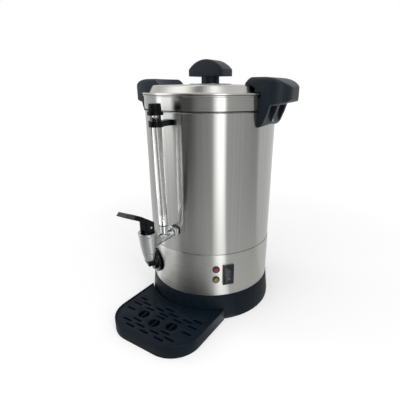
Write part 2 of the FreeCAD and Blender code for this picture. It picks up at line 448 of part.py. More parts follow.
class Piece:
    """One sub-part: a body whose label names its file, placed and turned by formulas."""

    made = []

    def __init__(self, label, x="0", y="0", z="0", turn="0"):
        self.body = doc.addObject("PartDesign::Body", "Body_" + label)
        self.body.Label = label
        self.body.AllowCompound = True
        self.body.Placement = FreeCAD.Placement(V(), FreeCAD.Rotation(V(0, 0, 1), value(turn)))
        self.body.setExpression(".Placement.Base.x", bind(x))
        self.body.setExpression(".Placement.Base.y", bind(y))
        self.body.setExpression(".Placement.Base.z", bind(z))
        self.body.setExpression(".Placement.Rotation.Angle", bind(turn))
        Piece.made.append(self.body)

    def lean_with_gauge(self):
        """Lean the body's own axis away from the casing, as the sight tube does."""
        self.body.setExpression(".Placement.Rotation.Angle", None)
        self.body.Placement.Rotation = FreeCAD.Rotation(V(1, 0, 0), value("gauge_lean"))
        self.body.setExpression(".Placement.Rotation.Angle", bind("gauge_lean"))

    def lie_along_reach(self):
        """Lay the body's own axis along -Y, so that its heights become reaches."""
        self.body.setExpression(".Placement.Rotation.Angle", None)
        self.body.Placement.Rotation = FreeCAD.Rotation(V(1, 0, 0), 90)

    def sketch(self, plane="XZ_Plane", lift="0", turn="0"):
        """A sketch on an origin plane, turned about the body's Z axis, then moved along its normal."""
        new = self.body.newObject("Sketcher::SketchObject", "Sketch")
        face = next(p for p in self.body.Origin.OriginFeatures if p.Role == plane)
        new.AttachmentSupport = [(face, "")]
        new.MapMode = "FlatFace"
        upright = V(0, 0, 1) if plane == "XY_Plane" else V(0, 1, 0)
        new.AttachmentOffset = FreeCAD.Placement(V(), FreeCAD.Rotation(upright, value(turn)))
        new.setExpression(".AttachmentOffset.Rotation.Angle", bind(turn))
        if plane == "XY_Plane":
            new.setExpression(".AttachmentOffset.Base.z", bind(lift))
        else:
            new.setExpression(".AttachmentOffset.Base.x", bind(f"({lift}) * sin({turn})"))
            new.setExpression(".AttachmentOffset.Base.z", bind(f"({lift}) * cos({turn})"))
        return new

    def gauge_sketch(self, radius):
        """A circle across the sight tube's leaning axis, in a body that lies along the reach."""
        new = self.sketch()
        new.AttachmentOffset = FreeCAD.Placement(V(), FreeCAD.Rotation(V(1, 0, 0), value("gauge_lean")))
        new.setExpression(".AttachmentOffset.Rotation.Angle", bind("gauge_lean"))
        new.setExpression(".AttachmentOffset.Base.y", bind("gauge_reach"))
        circle(new, "0", "0", radius)
        return new

    def feature(self, kind, profile, cut):
        """A feature made from a sketch, which has to add to the body or take from it."""
        before = self.volume()
        made = self.body.newObject("PartDesign::" + kind, kind)
        made.Profile = profile
        return made, before, cut

    def volume(self):
        """The body's volume so far."""
        return self.body.Shape.Volume if not self.body.Shape.isNull() else 0.0

    def settle(self, made, before, cut):
        """Work the new feature out and stop if it changed nothing."""
        doc.recompute()
        change = self.volume() - before
        if "Invalid" in made.State or (change >= -1e-6 if cut else change <= 1e-6):
            raise RuntimeError(f"{self.body.Label}: {made.Name} changed the volume by {change:.3f}")
        return made

    def turned(self, points, cut=False, angle="360", turn="0"):
        """Turn an outline of (radius, height) points about the body's Z axis."""
        profile = self.sketch(turn=turn)
        outline(profile, points)
        made, before, cut = self.feature("Groove" if cut else "Revolution", profile, cut)
        made.ReferenceAxis = (profile, ["V_Axis"])
        made.setExpression("Angle", bind(angle))
        return self.settle(made, before, cut)

    def extruded(self, profile, length=None, cut=False, both=False, reverse=False):
        """Pad or pocket a sketch; with no length, a pocket goes through everything."""
        made, before, cut = self.feature("Pocket" if cut else "Pad", profile, cut)
        if both:
            made.SideType = "Symmetric"
        if length is None:
            made.Type = "ThroughAll"
        else:
            made.setExpression("Length", bind(length))
        made.Reversed = reverse
        return self.settle(made, before, cut)

    def upright_rod(self, radius, low, high, x="0", y="0", cut=False, turn="0"):
        """A round rod or hole along Z, from one height to another."""
        profile = self.sketch("XY_Plane", low, turn)
        circle(profile, x, y, radius)
        return self.extruded(profile, f"{high} - ({low})", cut, reverse=cut)

    def radial_rod(self, azimuth, height, radius, near, far, cut=False):
        """A round rod or hole along an azimuth, from one reach to another."""
        profile = self.sketch("XZ_Plane", near, azimuth)
        circle(profile, "0", height, radius)
        return self.extruded(profile, f"{far} - ({near})", cut, reverse=cut)

    def radial_box(self, azimuth, height, width, tall, near, far, cut=False):
        """A box or hole along an azimuth, from one reach to another."""
        profile = self.sketch("XZ_Plane", near, azimuth)
        low = f"{height} - ({tall}) / 2"
        high = f"{height} + ({tall}) / 2"
        rectangle(profile, f"-({width}) / 2", low, f"({width}) / 2", high)
        return self.extruded(profile, f"{far} - ({near})", cut, reverse=cut)

    def radial_hexagon(self, azimuth, height, flats, near, far):
        """A hexagonal bar along an azimuth, from one reach to another."""
        profile = self.sketch("XZ_Plane", near, azimuth)
        outline(profile, hexagon(flats, height))
        return self.extruded(profile, f"{far} - ({near})")

    def ring_of(self, features, count, first_turn="0"):
        """Repeat features evenly round the body's Z axis."""
        before = self.volume()
        axis_sketch = self.sketch("XY_Plane", turn=first_turn)
        pattern = self.body.newObject("PartDesign::PolarPattern", "PolarPattern")
        pattern.Originals = features
        pattern.Axis = (axis_sketch, ["N_Axis"])
        pattern.Angle = 360
        pattern.setExpression("Occurrences", bind(count))
        self.body.Tip = pattern
        doc.recompute()
        if "Invalid" in pattern.State or abs(self.volume() - before) < 1e-6:
            raise RuntimeError(f"{self.body.Label}: the pattern changed nothing")
        return pattern

    def rounded(self, radius, chosen):
        """Round the edges that the test picks, in the body's own coordinates."""
        base = self.body.Tip
        names = [f"Edge{i}" for i, edge in enumerate(base.Shape.Edges, 1) if chosen(edge)]
        if not names:
            raise RuntimeError(f"{self.body.Label}: no edge to round")
        made = self.body.newObject("PartDesign::Fillet", "Fillet")
        made.Base = (base, names)
        made.setExpression("Radius", bind(radius))
        doc.recompute()
        if "Invalid" in made.State:
            raise RuntimeError(f"{self.body.Label}: the edges can't be rounded")
        return made


def arc_middle(start, end, radius, side):
    """The middle of the arc from start to end; side is OUT where it bulges to the right of its travel."""
    chord = end - start
    half = chord.Length / 2
    right = V(chord.y, -chord.x, 0) / chord.Length
    depth = radius - math.sqrt(max(radius**2 - half**2, 0.0))
    return (start + end) / 2 + right * depth * side


def outline(profile, points):
    """Draw a closed outline, counter-clockwise, with every corner held by its two formulas.

    A point is (x, y), or (x, y, radius, side) where an arc leads to it.
    """
    spots = [V(value(p[0]), value(p[1]), 0) for p in points]
    first = profile.GeometryCount
    starts, ends = [], []
    for i, start in enumerate(spots):
        target = points[(i + 1) % len(points)]
        end = spots[(i + 1) % len(points)]
        if len(target) == 2:
            profile.addGeometry(Part.LineSegment(start, end))
        else:
            middle = arc_middle(start, end, value(target[2]), target[3])
            profile.addGeometry(Part.Arc(start, middle, end))
        backwards = len(target) == 4 and target[3] == IN
        starts.append(2 if backwards else 1)
        ends.append(1 if backwards else 2)
    for i, point in enumerate(points):
        edge = first + i
        follower = (i + 1) % len(points)
        joint = ("Coincident", edge, ends[i], first + follower, starts[follower])
        profile.addConstraint(Sketcher.Constraint(*joint))
        place(profile, edge, starts[i], point[0], point[1])
        if len(points[follower]) == 4:
            held = profile.addConstraint(Sketcher.Constraint("Radius", edge, value(points[follower][2])))
            profile.setExpression(f"Constraints[{held}]", bind(points[follower][2]))


def place(profile, edge, end, x, y):
    """Hold one end of an edge at two formulas."""
    for kind, text in (("DistanceX", x), ("DistanceY", y)):
        held = profile.addConstraint(Sketcher.Constraint(kind, edge, end, value(text)))
        profile.setExpression(f"Constraints[{held}]", bind(text))


def circle(profile, x, y, radius):
    """Draw a circle held by three formulas."""
    edge = profile.addGeometry(Part.Circle(V(value(x), value(y), 0), V(0, 0, 1), value(radius)))
    place(profile, edge, 3, x, y)
    held = profile.addConstraint(Sketcher.Constraint("Radius", edge, value(radius)))
    profile.setExpression(f"Constraints[{held}]", bind(radius))


def rectangle(profile, left, low, right, high):
    """Draw a rectangle held by the formulas of its sides."""
    outline(profile, [(left, low), (right, low), (right, high), (left, high)])


def hexagon(flats, middle="0"):
    """The corners of a hexagon of a given width across its flats, which stand left and right."""
    corners = []
    for number in range(6):
        angle = 60 * number - 90
        x = f"({flats}) / sqrt(3) * cos({angle})"
        y = f"{middle} + ({flats}) / sqrt(3) * sin({angle})"
        corners.append((x, y))
    return corners


def box_outline(inner, low, outer, high):
    """The outline of a plain ring's section."""
    return [(inner, low), (outer, low), (outer, high), (inner, high)]


def bent_tube(corners, bend, radius):
    """A tube whose straight runs are joined by tangent arcs."""
    spots = [V(*(value(text) for text in corner)) for corner in corners]
    edges = []
    start = spots[0]
    for before, corner, after in zip(spots, spots[1:], spots[2:]):
        arriving = (corner - before).normalize()
        leaving = (after - corner).normalize()
        half_turn = arriving.getAngle(leaving) / 2
        setback = bend * math.tan(half_turn)
        first = corner - arriving * setback
        last = corner + leaving * setback
        inward = (leaving - arriving).normalize()
        middle = corner + inward * (bend / math.cos(half_turn) - bend)
        edges.append(Part.LineSegment(start, first).toShape())
        edges.append(Part.Arc(first, middle, last).toShape())
        start = last
    edges.append(Part.LineSegment(start, spots[-1]).toShape())
    section = Part.Wire(Part.Circle(spots[0], spots[1] - spots[0], radius).toShape())
    return Part.Wire(edges).makePipeShell([section], True, False)


def free_shape(label, shape):
    """A sub-part whose shape is made directly from the sheet's sizes."""
    made = doc.addObject("Part::Feature", "Shape_" + label)
    made.Label = label
    made.Shape = shape
    made.Placement = FreeCAD.Placement()
    Piece.made.append(made)
    return made


# Heights and reaches that several pieces share
TANK_UNDER = "(tank_floor - tank_wall)"
SHELL_INNER = "(shell_radius - shell_wall)"
BAND_INNER = "(band_radius - band_wall)"
COLLAR_INNER = "(collar_radius - tank_wall)"
COVER_TOP = "(cover_bottom + cover_thick)"
SCREW_END = "(cover_bottom + cover_thick + cover_screw_length)"
SCREW_HEAD_LOW = "(cover_bottom - screw_head_height)"
SHANK_HOLE = "(thread_radius + screw_gap)"
COVER_RADIUS = "(ring_foot_radius - ring_wall - fit_gap)"
LID_LOW = "(rim_top + lid_lift)"
LID_FLANGE_TOP = "(rim_top + lid_lift + flange_height)"
KNOB_BASE = "(lid_top + washer_thick)"
RIM_LOW = "(rim_top - rim_bead)"
HEATER_LOW = "(tank_floor - tank_wall - heater_thick)"
ELEMENT_HEIGHT = "(tank_floor - tank_wall - heater_thick - element_radius - fit_gap)"
TERMINAL_ANGLE = "(element_gap_angle / 2 + terminal_angle)"
HANDLE_SCREW_HIGH = "(handle_screw_low + handle_screw_pitch)"
CLIP_MIDDLE = "(clip_low + clip_height / 2)"
SEAL_TOP = "(branch_rise + seal_thick)"
TUBE_END = "(branch_rise + seal_thick + tube_length)"
CLIP_REACH = "(gauge_reach + (clip_low + clip_height / 2 - shank_height) * tan(gauge_lean))"
CUP_TOP = "(collar_low - seal_gap)"
WIRE_START = "(cover_bottom + cover_thick + block_height / 2)"
EARTH_TOP = "(cover_bottom + cover_thick + earth_length)"
TRAY_BACK = "(ring_foot_radius + tray_gap)"
GRILLE_LOW = "(grille_top - grille_thick)"
OUTER_WASHER_END = "(shell_radius + running_gap + shank_washer)"
INNER_WASHER_START = "(sqrt(tank_radius ^ 2 - washer_outer ^ 2) - running_gap - shank_washer)"


def outer_shell():
    """The casing: a steel tube with holes for the tap, the gauge's clip and the handles."""
    piece = Piece("outer_shell")
    piece.turned(box_outline(SHELL_INNER, "band_top", "shell_radius", "shell_top"))
    middle = "shell_radius - 5"
    beyond = "shell_radius + 5"
    piece.radial_rod("0", "shank_height", SHANK_HOLE, middle, beyond, cut=True)
    piece.radial_rod("0", CLIP_MIDDLE, "clip_screw + screw_gap", middle, beyond, cut=True)
    for azimuth in ("90", "-90"):
        for height in ("handle_screw_low", HANDLE_SCREW_HIGH):
            piece.radial_rod(azimuth, height, "handle_screw + screw_gap", middle, beyond, cut=True)


def inner_tank():
    """The tank: floor, wall, ledge on the casing's edge, collar, rolled rim and the stud below."""
    piece = Piece("inner_tank")
    wall = "(tank_radius + tank_wall)"
    inner_corner = "tank_corner"
    outer_corner = "tank_corner + tank_wall"
    ledge_top = "shell_top + tank_wall"
    piece.turned([
        ("0", TANK_UNDER),
        (f"{wall} - ({outer_corner})", TANK_UNDER),
        (wall, f"{TANK_UNDER} + {outer_corner}", outer_corner, OUT),
        (wall, "shell_top"),
        ("collar_radius - collar_corner", "shell_top"),
        ("collar_radius", "shell_top + collar_corner", "collar_corner", OUT),
        ("collar_radius", RIM_LOW),
        ("collar_radius + rim_proud", f"{RIM_LOW} + rim_bead / 2", "rim_bead / 2", OUT),
        ("collar_radius", "rim_top", "rim_bead / 2", OUT),
        (COLLAR_INNER, "rim_top"),
        (COLLAR_INNER, ledge_top),
        ("tank_radius", ledge_top),
        ("tank_radius", f"tank_floor + {inner_corner}"),
        (f"tank_radius - {inner_corner}", "tank_floor", inner_corner, IN),
        ("0", "tank_floor"),
    ])
    low = f"{TANK_UNDER} - stud_length"
    piece.upright_rod("stud_radius", low, TANK_UNDER)
    piece.radial_rod("0", "shank_height", SHANK_HOLE, "tank_radius - 5", "tank_radius + 5", cut=True)


def base_band():
    """The steel band round the base, with its inward flange and the controls' holes."""
    piece = Piece("base_band")
    piece.turned([
        (BAND_INNER, "band_bottom"),
        ("band_radius", "band_bottom"),
        ("band_radius", "band_top"),
        (f"{BAND_INNER} - band_flange", "band_top"),
        (f"{BAND_INNER} - band_flange", "band_top - band_wall"),
        (BAND_INNER, "band_top - band_wall"),
    ])
    near = "band_radius - 10"
    far = "band_radius + 5"
    for height in ("red_height", "amber_height"):
        piece.radial_rod("lamp_azimuth", height, "lamp_barrel + hole_gap", near, far, cut=True)
    piece.radial_rod("dial_azimuth", "dial_height", "thermostat_neck + hole_gap", near, far, cut=True)
    piece.radial_rod("180", "gland_height", "gland_barrel + hole_gap", near, far, cut=True)
    width = "housing_width + hole_gap"
    tall = "housing_height + hole_gap"
    piece.radial_box("switch_azimuth", "switch_height", width, tall, near, far, cut=True)


def base_ring():
    """The flared plastic ring under the band, with four screw bosses and two slots for the tray."""
    piece = Piece("base_ring")
    inner_foot = "ring_foot_radius - ring_wall"
    spigot = f"({BAND_INNER} - fit_gap)"
    piece.turned([
        (inner_foot, "0"),
        ("ring_foot_radius - ring_foot_round", "0"),
        ("ring_foot_radius", "ring_foot_round", "ring_foot_round", OUT),
        ("ring_foot_radius", "ring_straight"),
        ("ring_top_radius", "band_bottom"),
        (spigot, "band_bottom"),
        (spigot, "band_bottom + spigot_height"),
        (f"{spigot} - spigot_wall", "band_bottom + spigot_height"),
        (f"{spigot} - spigot_wall", "band_bottom - ring_wall"),
        (inner_foot, "ring_straight"),
    ])
    profile = piece.sketch("XY_Plane", COVER_TOP)
    boss_inner = "-(boss_circle - boss_width / 2)"
    rectangle(profile, "-boss_width / 2", f"-({inner_foot})", "boss_width / 2", boss_inner)
    boss = piece.extruded(profile, "boss_height")
    hole_end = f"{SCREW_END} + 1"
    hole = piece.upright_rod("cover_screw + screw_gap", COVER_TOP, hole_end, y="-boss_circle", cut=True)
    piece.ring_of([boss, hole], "4")
    for side in ("-", ""):
        profile = piece.sketch()
        middle = f"{side}tongue_offset"
        half = "(tongue_width / 2 + tongue_gap)"
        rectangle(profile, f"{middle} - {half}", "tongue_low - tongue_gap", f"{middle} + {half}",
                  "tongue_low + tongue_thick + tongue_gap")
        piece.extruded(profile, cut=True, reverse=True)


def bottom_cover():
    """The plate that closes the base, with vents, feet holes and screw holes."""
    piece = Piece("bottom_cover")
    piece.turned(box_outline("0", "cover_bottom", COVER_RADIUS, COVER_TOP))
    below = "cover_bottom - 1"
    above = f"{COVER_TOP} + 1"
    screw = piece.upright_rod("cover_screw + screw_gap", below, above, y="-boss_circle", cut=True)
    foot = piece.upright_rod("foot_neck + screw_gap", below, above, y="-foot_circle", cut=True, turn="45")
    piece.ring_of([screw, foot], "4")
    profile = piece.sketch("XY_Plane", below, "22.5")
    rectangle(profile, "-vent_width / 2", "-(vent_circle + vent_length / 2)", "vent_width / 2",
              "-(vent_circle - vent_length / 2)")
    vent = piece.extruded(profile, f"{above} - ({below})", cut=True, reverse=True)
    piece.ring_of([vent], "8")
    piece.upright_rod("earth_radius + screw_gap", below, above, x="earth_offset", cut=True)


def rubber_feet():
    """Four rubber feet, each held by a head above the cover."""
    piece = Piece("rubber_feet")
    at = {"y": "-foot_circle", "turn": "45"}
    pad = piece.upright_rod("foot_radius", "0", "cover_bottom", **at)
    neck = piece.upright_rod("foot_neck", "cover_bottom", COVER_TOP, **at)
    head = piece.upright_rod("foot_head", COVER_TOP, f"{COVER_TOP} + cover_thick", **at)
    piece.ring_of([pad, neck, head], "4")


def cover_screws():
    """Four screws that hold the cover to the base ring's bosses."""
    piece = Piece("cover_screws")
    head = piece.upright_rod("cover_screw_head", SCREW_HEAD_LOW, "cover_bottom", y="-boss_circle")
    shank = piece.upright_rod("cover_screw", "cover_bottom", SCREW_END, y="-boss_circle")
    piece.ring_of([head, shank], "4")


def lid():
    """The pressed lid: crown, skirt, rolled flange, and a lip inside the collar."""
    piece = Piece("lid")
    skirt_low = f"({LID_FLANGE_TOP} + skirt_turn_radius)"
    under_flange = f"{LID_FLANGE_TOP} - lid_wall"
    piece.turned([
        ("0", "lid_top - lid_wall"),
        ("lid_flat", "lid_top - lid_wall"),
        ("lid_shoulder - lid_wall / 2", "lid_top - lid_crown - lid_wall"),
        ("lid_skirt - lid_wall", skirt_low, "lid_turn_radius - lid_wall", IN),
        ("lid_skirt - lid_wall", under_flange),
        ("lid_flange - lid_wall", under_flange),
        ("lid_flange - lid_wall", LID_LOW),
        ("lid_flange", LID_LOW),
        ("lid_flange", f"{LID_FLANGE_TOP} - lid_wall"),
        ("lid_flange - lid_wall", LID_FLANGE_TOP, "lid_wall", OUT),
        ("lid_skirt + skirt_turn_radius", LID_FLANGE_TOP),
        ("lid_skirt", skirt_low, "skirt_turn_radius", IN),
        ("lid_shoulder", "lid_top - lid_crown", "lid_turn_radius", OUT),
        ("lid_flat", "lid_top"),
        ("0", "lid_top"),
    ])
    lip_low = f"{LID_LOW} - lip_depth"
    lip_inner = "lip_radius - lid_wall"
    piece.turned(box_outline(lip_inner, lip_low, "lip_radius", f"{LID_FLANGE_TOP} - lid_wall / 2"))
    piece.upright_rod("knob_screw + screw_gap", "lid_top - 2", "lid_top + 2", cut=True)


def lid_knob():
    """The arched knob, cut straight across, on a round neck."""
    piece = Piece("lid_knob")
    profile = piece.sketch()
    half = "knob_length / 2"
    shoulder = "knob_bottom + knob_end"
    arch = "((knob_length / 2) ^ 2 + knob_crown ^ 2) / (2 * knob_crown)"
    outline(profile, [
        (f"-{half}", "knob_bottom"),
        (half, "knob_bottom"),
        (half, shoulder),
        (f"-{half}", shoulder, arch, OUT),
    ])
    piece.extruded(profile, "knob_width", both=True)
    piece.rounded("knob_round", lambda edge: edge.BoundBox.ZMax > value("knob_bottom") + 0.01
                  and abs(edge.CenterOfMass.y) + 0.01 > value("knob_width") / 2)
    piece.upright_rod("neck_radius", KNOB_BASE, "knob_bottom + 1")
    piece.upright_rod("knob_screw + screw_gap", f"{KNOB_BASE} - 1", "knob_bottom + knob_end / 2", cut=True)


def knob_washer():
    """The thin washer between knob and lid."""
    piece = Piece("knob_washer")
    piece.turned(box_outline("knob_screw + screw_gap", "lid_top", "washer_radius", KNOB_BASE))


def knob_screw():
    """The screw that holds the knob from inside the lid."""
    piece = Piece("knob_screw")
    under = "lid_top - lid_wall"
    piece.upright_rod("knob_screw_head", f"{under} - screw_head_height", under)
    piece.upright_rod("knob_screw", under, "knob_bottom + knob_end / 4")


def handle(label, turn):
    """A moulded handle: plate on the casing, hollow bracket, grip, and a hook over the lid."""
    piece = Piece(label, turn=turn)
    profile = piece.sketch()
    crown = "(grip_slope ^ 2 + grip_fall ^ 2) / (2 * grip_fall)"
    outline(profile, [
        ("tank_radius", "handle_bottom"),
        ("shell_radius - 3", "handle_bottom"),
        ("pocket_reach + 1.5", "pocket_low + 3", "bracket_round", OUT),
        ("pocket_reach + 6.5", "pocket_high - 10"),
        ("pocket_reach + 10", "pocket_high + 1.5"),
        ("grip_reach - grip_heel", "grip_bottom"),
        ("grip_reach", "grip_bottom + grip_heel", "grip_heel", OUT),
        ("grip_reach", "handle_top - grip_fall"),
        ("grip_reach - grip_slope", "handle_top", crown, OUT),
        ("hook_reach - 12", "handle_top"),
        ("hook_reach - 12", "handle_top - 14"),
        ("tank_radius", "handle_top - 14"),
    ])
    piece.extruded(profile, "2 * handle_half", both=True)
    frame = piece.sketch("XY_Plane", "handle_bottom - 10")
    rectangle(frame, "40", "-handle_half - 30", "grip_reach + 30", "handle_half + 30")
    outline(frame, [
        ("50", "-handle_half"),
        ("grip_reach - grip_corner", "-handle_half"),
        ("grip_reach", "grip_corner - handle_half", "grip_corner", OUT),
        ("grip_reach", "handle_half - grip_corner"),
        ("grip_reach - grip_corner", "handle_half", "grip_corner", OUT),
        ("50", "handle_half"),
    ])
    piece.extruded(frame, cut=True, reverse=True)
    slope_end = value("handle_top - grip_fall")

    def upper_edge(edge):
        """True for the edges along the grip's top and round its outer end."""
        box = edge.BoundBox
        beyond_hook = box.ZMax > slope_end + 1 and box.XMax > value("hook_reach")
        side = beyond_hook and box.YLength < value("handle_half")
        return box.ZMin > slope_end - 0.5 and (side or box.XMin > value("grip_reach") - 0.1)

    piece.rounded("grip_round", upper_edge)
    skirt = "(lid_skirt + jaw_gap)"
    piece.turned([
        ("40", "handle_bottom - 5"),
        ("shell_radius + fit_gap", "handle_bottom - 5"),
        ("shell_radius + fit_gap", "shell_top - 1"),
        ("collar_radius + fit_gap", "shell_top - 1"),
        ("collar_radius + fit_gap", f"{RIM_LOW} - slot_gap"),
        ("lid_flange + slot_gap", f"{RIM_LOW} - slot_gap"),
        ("lid_flange + slot_gap", f"{LID_FLANGE_TOP} + slot_gap"),
        (skirt, f"{LID_FLANGE_TOP} + slot_gap"),
        (f"{skirt} - 2.5", "hook_bottom - 2.5"),
        ("hook_reach", "hook_bottom"),
        ("hook_reach", "hook_bottom + 1.6"),
        ("hook_reach + 7.7", "handle_top + 1"),
        ("40", "handle_top + 1"),
    ], cut=True)
    for side in (1, -1):
        pocket = piece.sketch("YZ_Plane", "pocket_reach")
        inner = f"{side} * web_half"
        outer = f"{side} * (handle_half - cheek_wall)"
        left, right = (inner, outer) if side == 1 else (outer, inner)
        rectangle(pocket, left, "pocket_low", right, "pocket_high")
        piece.extruded(pocket, cut=True, reverse=True)
    for height in ("handle_screw_low", HANDLE_SCREW_HIGH):
        hole = piece.sketch("YZ_Plane", "tank_radius")
        circle(hole, "0", height, "handle_screw + screw_gap")
        piece.extruded(hole, "handle_screw_end + 0.5 - tank_radius", cut=True, reverse=True)


def handle_screws():
    """Four screws driven into the handles from inside the casing."""
    piece = Piece("handle_screws")
    seat = f"({SHELL_INNER} - screw_gap)"
    for azimuth in ("90", "-90"):
        for height in ("handle_screw_low", HANDLE_SCREW_HIGH):
            piece.radial_rod(azimuth, height, "handle_screw_head", f"{seat} - screw_head_height", seat)
            piece.radial_rod(azimuth, height, "handle_screw", seat, "handle_screw_end")


def tap_shank():
    """The threaded shank through both walls, with the tee that feeds the sight tube."""
    piece = Piece("tap_shank", z="shank_height")
    piece.lie_along_reach()
    piece.turned([
        ("0", "shank_start"),
        ("thread_radius", "shank_start"),
        ("thread_radius", "tee_start"),
        ("tee_radius", "tee_start"),
        ("tee_radius", "tee_end"),
        ("spigot_radius", "tee_end"),
        ("spigot_radius", "tap_reach - boss_wall - fit_gap"),
        ("0", "tap_reach - boss_wall - fit_gap"),
    ])
    branch = piece.gauge_sketch("tee_branch")
    piece.extruded(branch, "branch_rise", reverse=True)
    nipple = piece.gauge_sketch("nipple_radius")
    piece.extruded(nipple, "branch_rise + nipple_length", reverse=True)
    piece.turned(box_outline("0", "shank_start - 1", "shank_bore", "tap_reach"), cut=True)
    feed = piece.gauge_sketch("nipple_radius - 1.6")
    piece.extruded(feed, "branch_rise + nipple_length + 1", cut=True)


def shank_fittings():
    """The nuts, washers and sleeve that clamp the shank through tank and casing."""
    outer_nut = Piece("shank_nut")
    near = OUTER_WASHER_END
    far = f"{near} + nut_thick"
    outer_nut.radial_hexagon("0", "shank_height", "nut_flats", near, far)
    outer_nut.radial_rod("0", "shank_height", SHANK_HOLE, f"{near} - 1", f"{far} + 1", cut=True)
    inner_nut = Piece("tank_nut")
    near = f"({INNER_WASHER_START} - nut_thick)"
    far = INNER_WASHER_START
    inner_nut.radial_hexagon("0", "shank_height", "nut_flats", near, far)
    inner_nut.radial_rod("0", "shank_height", SHANK_HOLE, f"{near} - 1", f"{far} + 1", cut=True)
    washers = Piece("shank_washers")
    for near, far in ((INNER_WASHER_START, f"{INNER_WASHER_START} + shank_washer"),
                      ("shell_radius + running_gap", OUTER_WASHER_END)):
        washers.radial_rod("0", "shank_height", "washer_outer", near, far)
        washers.radial_rod("0", "shank_height", SHANK_HOLE, f"{near} - 1", f"{far} + 1", cut=True)
    sleeve = Piece("shank_sleeve")
    near = "tank_radius + tank_wall + running_gap"
    far = f"sqrt({SHELL_INNER} ^ 2 - spacer_radius ^ 2) - running_gap"
    sleeve.radial_rod("0", "shank_height", "spacer_radius", near, far)
    sleeve.radial_rod("0", "shank_height", SHANK_HOLE, f"{near} - 1", f"{far} + 1", cut=True)


def sight_gauge():
    """The clear sight tube with its seal, ribbed cap and clip."""
    tube = Piece("sight_tube", y="-gauge_reach", z="shank_height")
    seal = Piece("tube_seal", y="-gauge_reach", z="shank_height")
    cap = Piece("gauge_cap", y="-gauge_reach", z="shank_height")
    for piece in (tube, seal, cap):
        piece.lean_with_gauge()
    tube.turned(box_outline("tube_bore", SEAL_TOP, "tube_radius", TUBE_END))
    seal.turned(box_outline("nipple_radius + screw_gap", "branch_rise", "tube_radius - 0.6", SEAL_TOP))
    low = f"({TUBE_END} - cap_grip)"
    top = f"({TUBE_END} + cap_roof)"
    flange_top = f"({low} + cap_flange_height)"
    inner = "tube_radius + running_gap"
    cap.turned([
        (inner, low),
        ("cap_flange", low),
        ("cap_flange", flange_top),
        ("cap_radius", flange_top),
        ("cap_radius - cap_taper", f"{top} - 1"),
        ("cap_radius - cap_taper - 1", top, "1", OUT),
        ("0", top),
        ("0", f"{TUBE_END} + running_gap"),
        (inner, f"{TUBE_END} + running_gap"),
    ])
    profile = cap.sketch("XY_Plane", flange_top)
    circle(profile, "0", "-(cap_radius + 0.1)", "cap_groove")
    groove = cap.extruded(profile, f"{top} + 1 - {flange_top}", cut=True, reverse=True)
    cap.ring_of([groove], "cap_ribs")


def gauge_clip():
    """The clip: a ring round the sight tube, an arm, and a foot on the casing."""
    clip = Piece("gauge_clip")
    high = "(clip_low + clip_height)"
    inside = "-(shell_radius - 4)"
    foot = clip.sketch("XY_Plane", "clip_low")
    rectangle(foot, "-clip_foot / 2", "-(shell_radius + clip_foot_wall)", "clip_foot / 2", inside)
    clip.extruded(foot, "clip_height")
    arm = clip.sketch("XY_Plane", "clip_low")
    rectangle(arm, "-clip_arm / 2", f"-{CLIP_REACH}", "clip_arm / 2", inside)
    clip.extruded(arm, "clip_height")
    bore = "tube_radius + fit_gap"
    clip.upright_rod(f"{bore} + clip_wall", "clip_low", high, y=f"-{CLIP_REACH}")
    clip.upright_rod(bore, "clip_low - 1", f"{high} + 1", y=f"-{CLIP_REACH}", cut=True)
    clip.upright_rod("shell_radius + running_gap", "clip_low - 1", f"{high} + 1", cut=True)
    hole_end = "shell_radius + clip_screw_length + 0.5"
    clip.radial_rod("0", CLIP_MIDDLE, "clip_screw + screw_gap", "shell_radius", hole_end, cut=True)
    screw = Piece("clip_screw")
    seat = f"({SHELL_INNER} - screw_gap)"
    screw.radial_rod("0", CLIP_MIDDLE, "clip_screw_head", f"{seat} - screw_head_height", seat)
    screw.radial_rod("0", CLIP_MIDDLE, "clip_screw", seat, "shell_radius + clip_screw_length")


def tap_body():
    """The chrome tap: spout, cone, ring and side boss, with the valve's chamber and seat inside."""
    piece = Piece("tap_body", y="-tap_reach")
    piece.turned([
        ("0", "spout_bottom"),
        ("cone_low", "spout_bottom"),
        ("cone_high", "cone_top", "cone_bulge", OUT),
        ("tap_ring", "cone_top + 1"),
        ("tap_ring", "tap_top - 0.8"),
        ("tap_ring - 0.8", "tap_top", "0.8", OUT),
        ("0", "tap_top"),
    ])
    reach = "tap_reach - tee_end - fit_gap"
    boss = piece.sketch("XZ_Plane", f"-({reach})")
    circle(boss, "0", "shank_height", "boss_radius")
    piece.extruded(boss, reach)
    piece.turned([
        ("0", "spout_bottom - 1"),
        ("spout_bore", "spout_bottom - 1"),
        ("spout_bore", "seat_height"),
        ("chamber_low", "seat_height"),
        ("chamber_high", "bonnet_bottom - 0.2"),
        ("bonnet_radius + screw_gap", "bonnet_bottom - 0.2"),
        ("bonnet_radius + screw_gap", "tap_top + 1"),
        ("0", "tap_top + 1"),
    ], cut=True)
    piece.turned(box_outline("cone_line_radius", "cone_line - 0.5", "cone_high", "cone_line + 0.5"), cut=True)
    bore = piece.sketch("XZ_Plane", "-boss_wall")
    circle(bore, "0", "shank_height", "spigot_radius + screw_gap")
    piece.extruded(bore, f"{reach} + 1 - boss_wall", cut=True)
    port = piece.sketch("XZ_Plane", "0")
    circle(port, "0", "shank_height", "shank_bore")
    piece.extruded(port, "boss_wall + 1", cut=True)


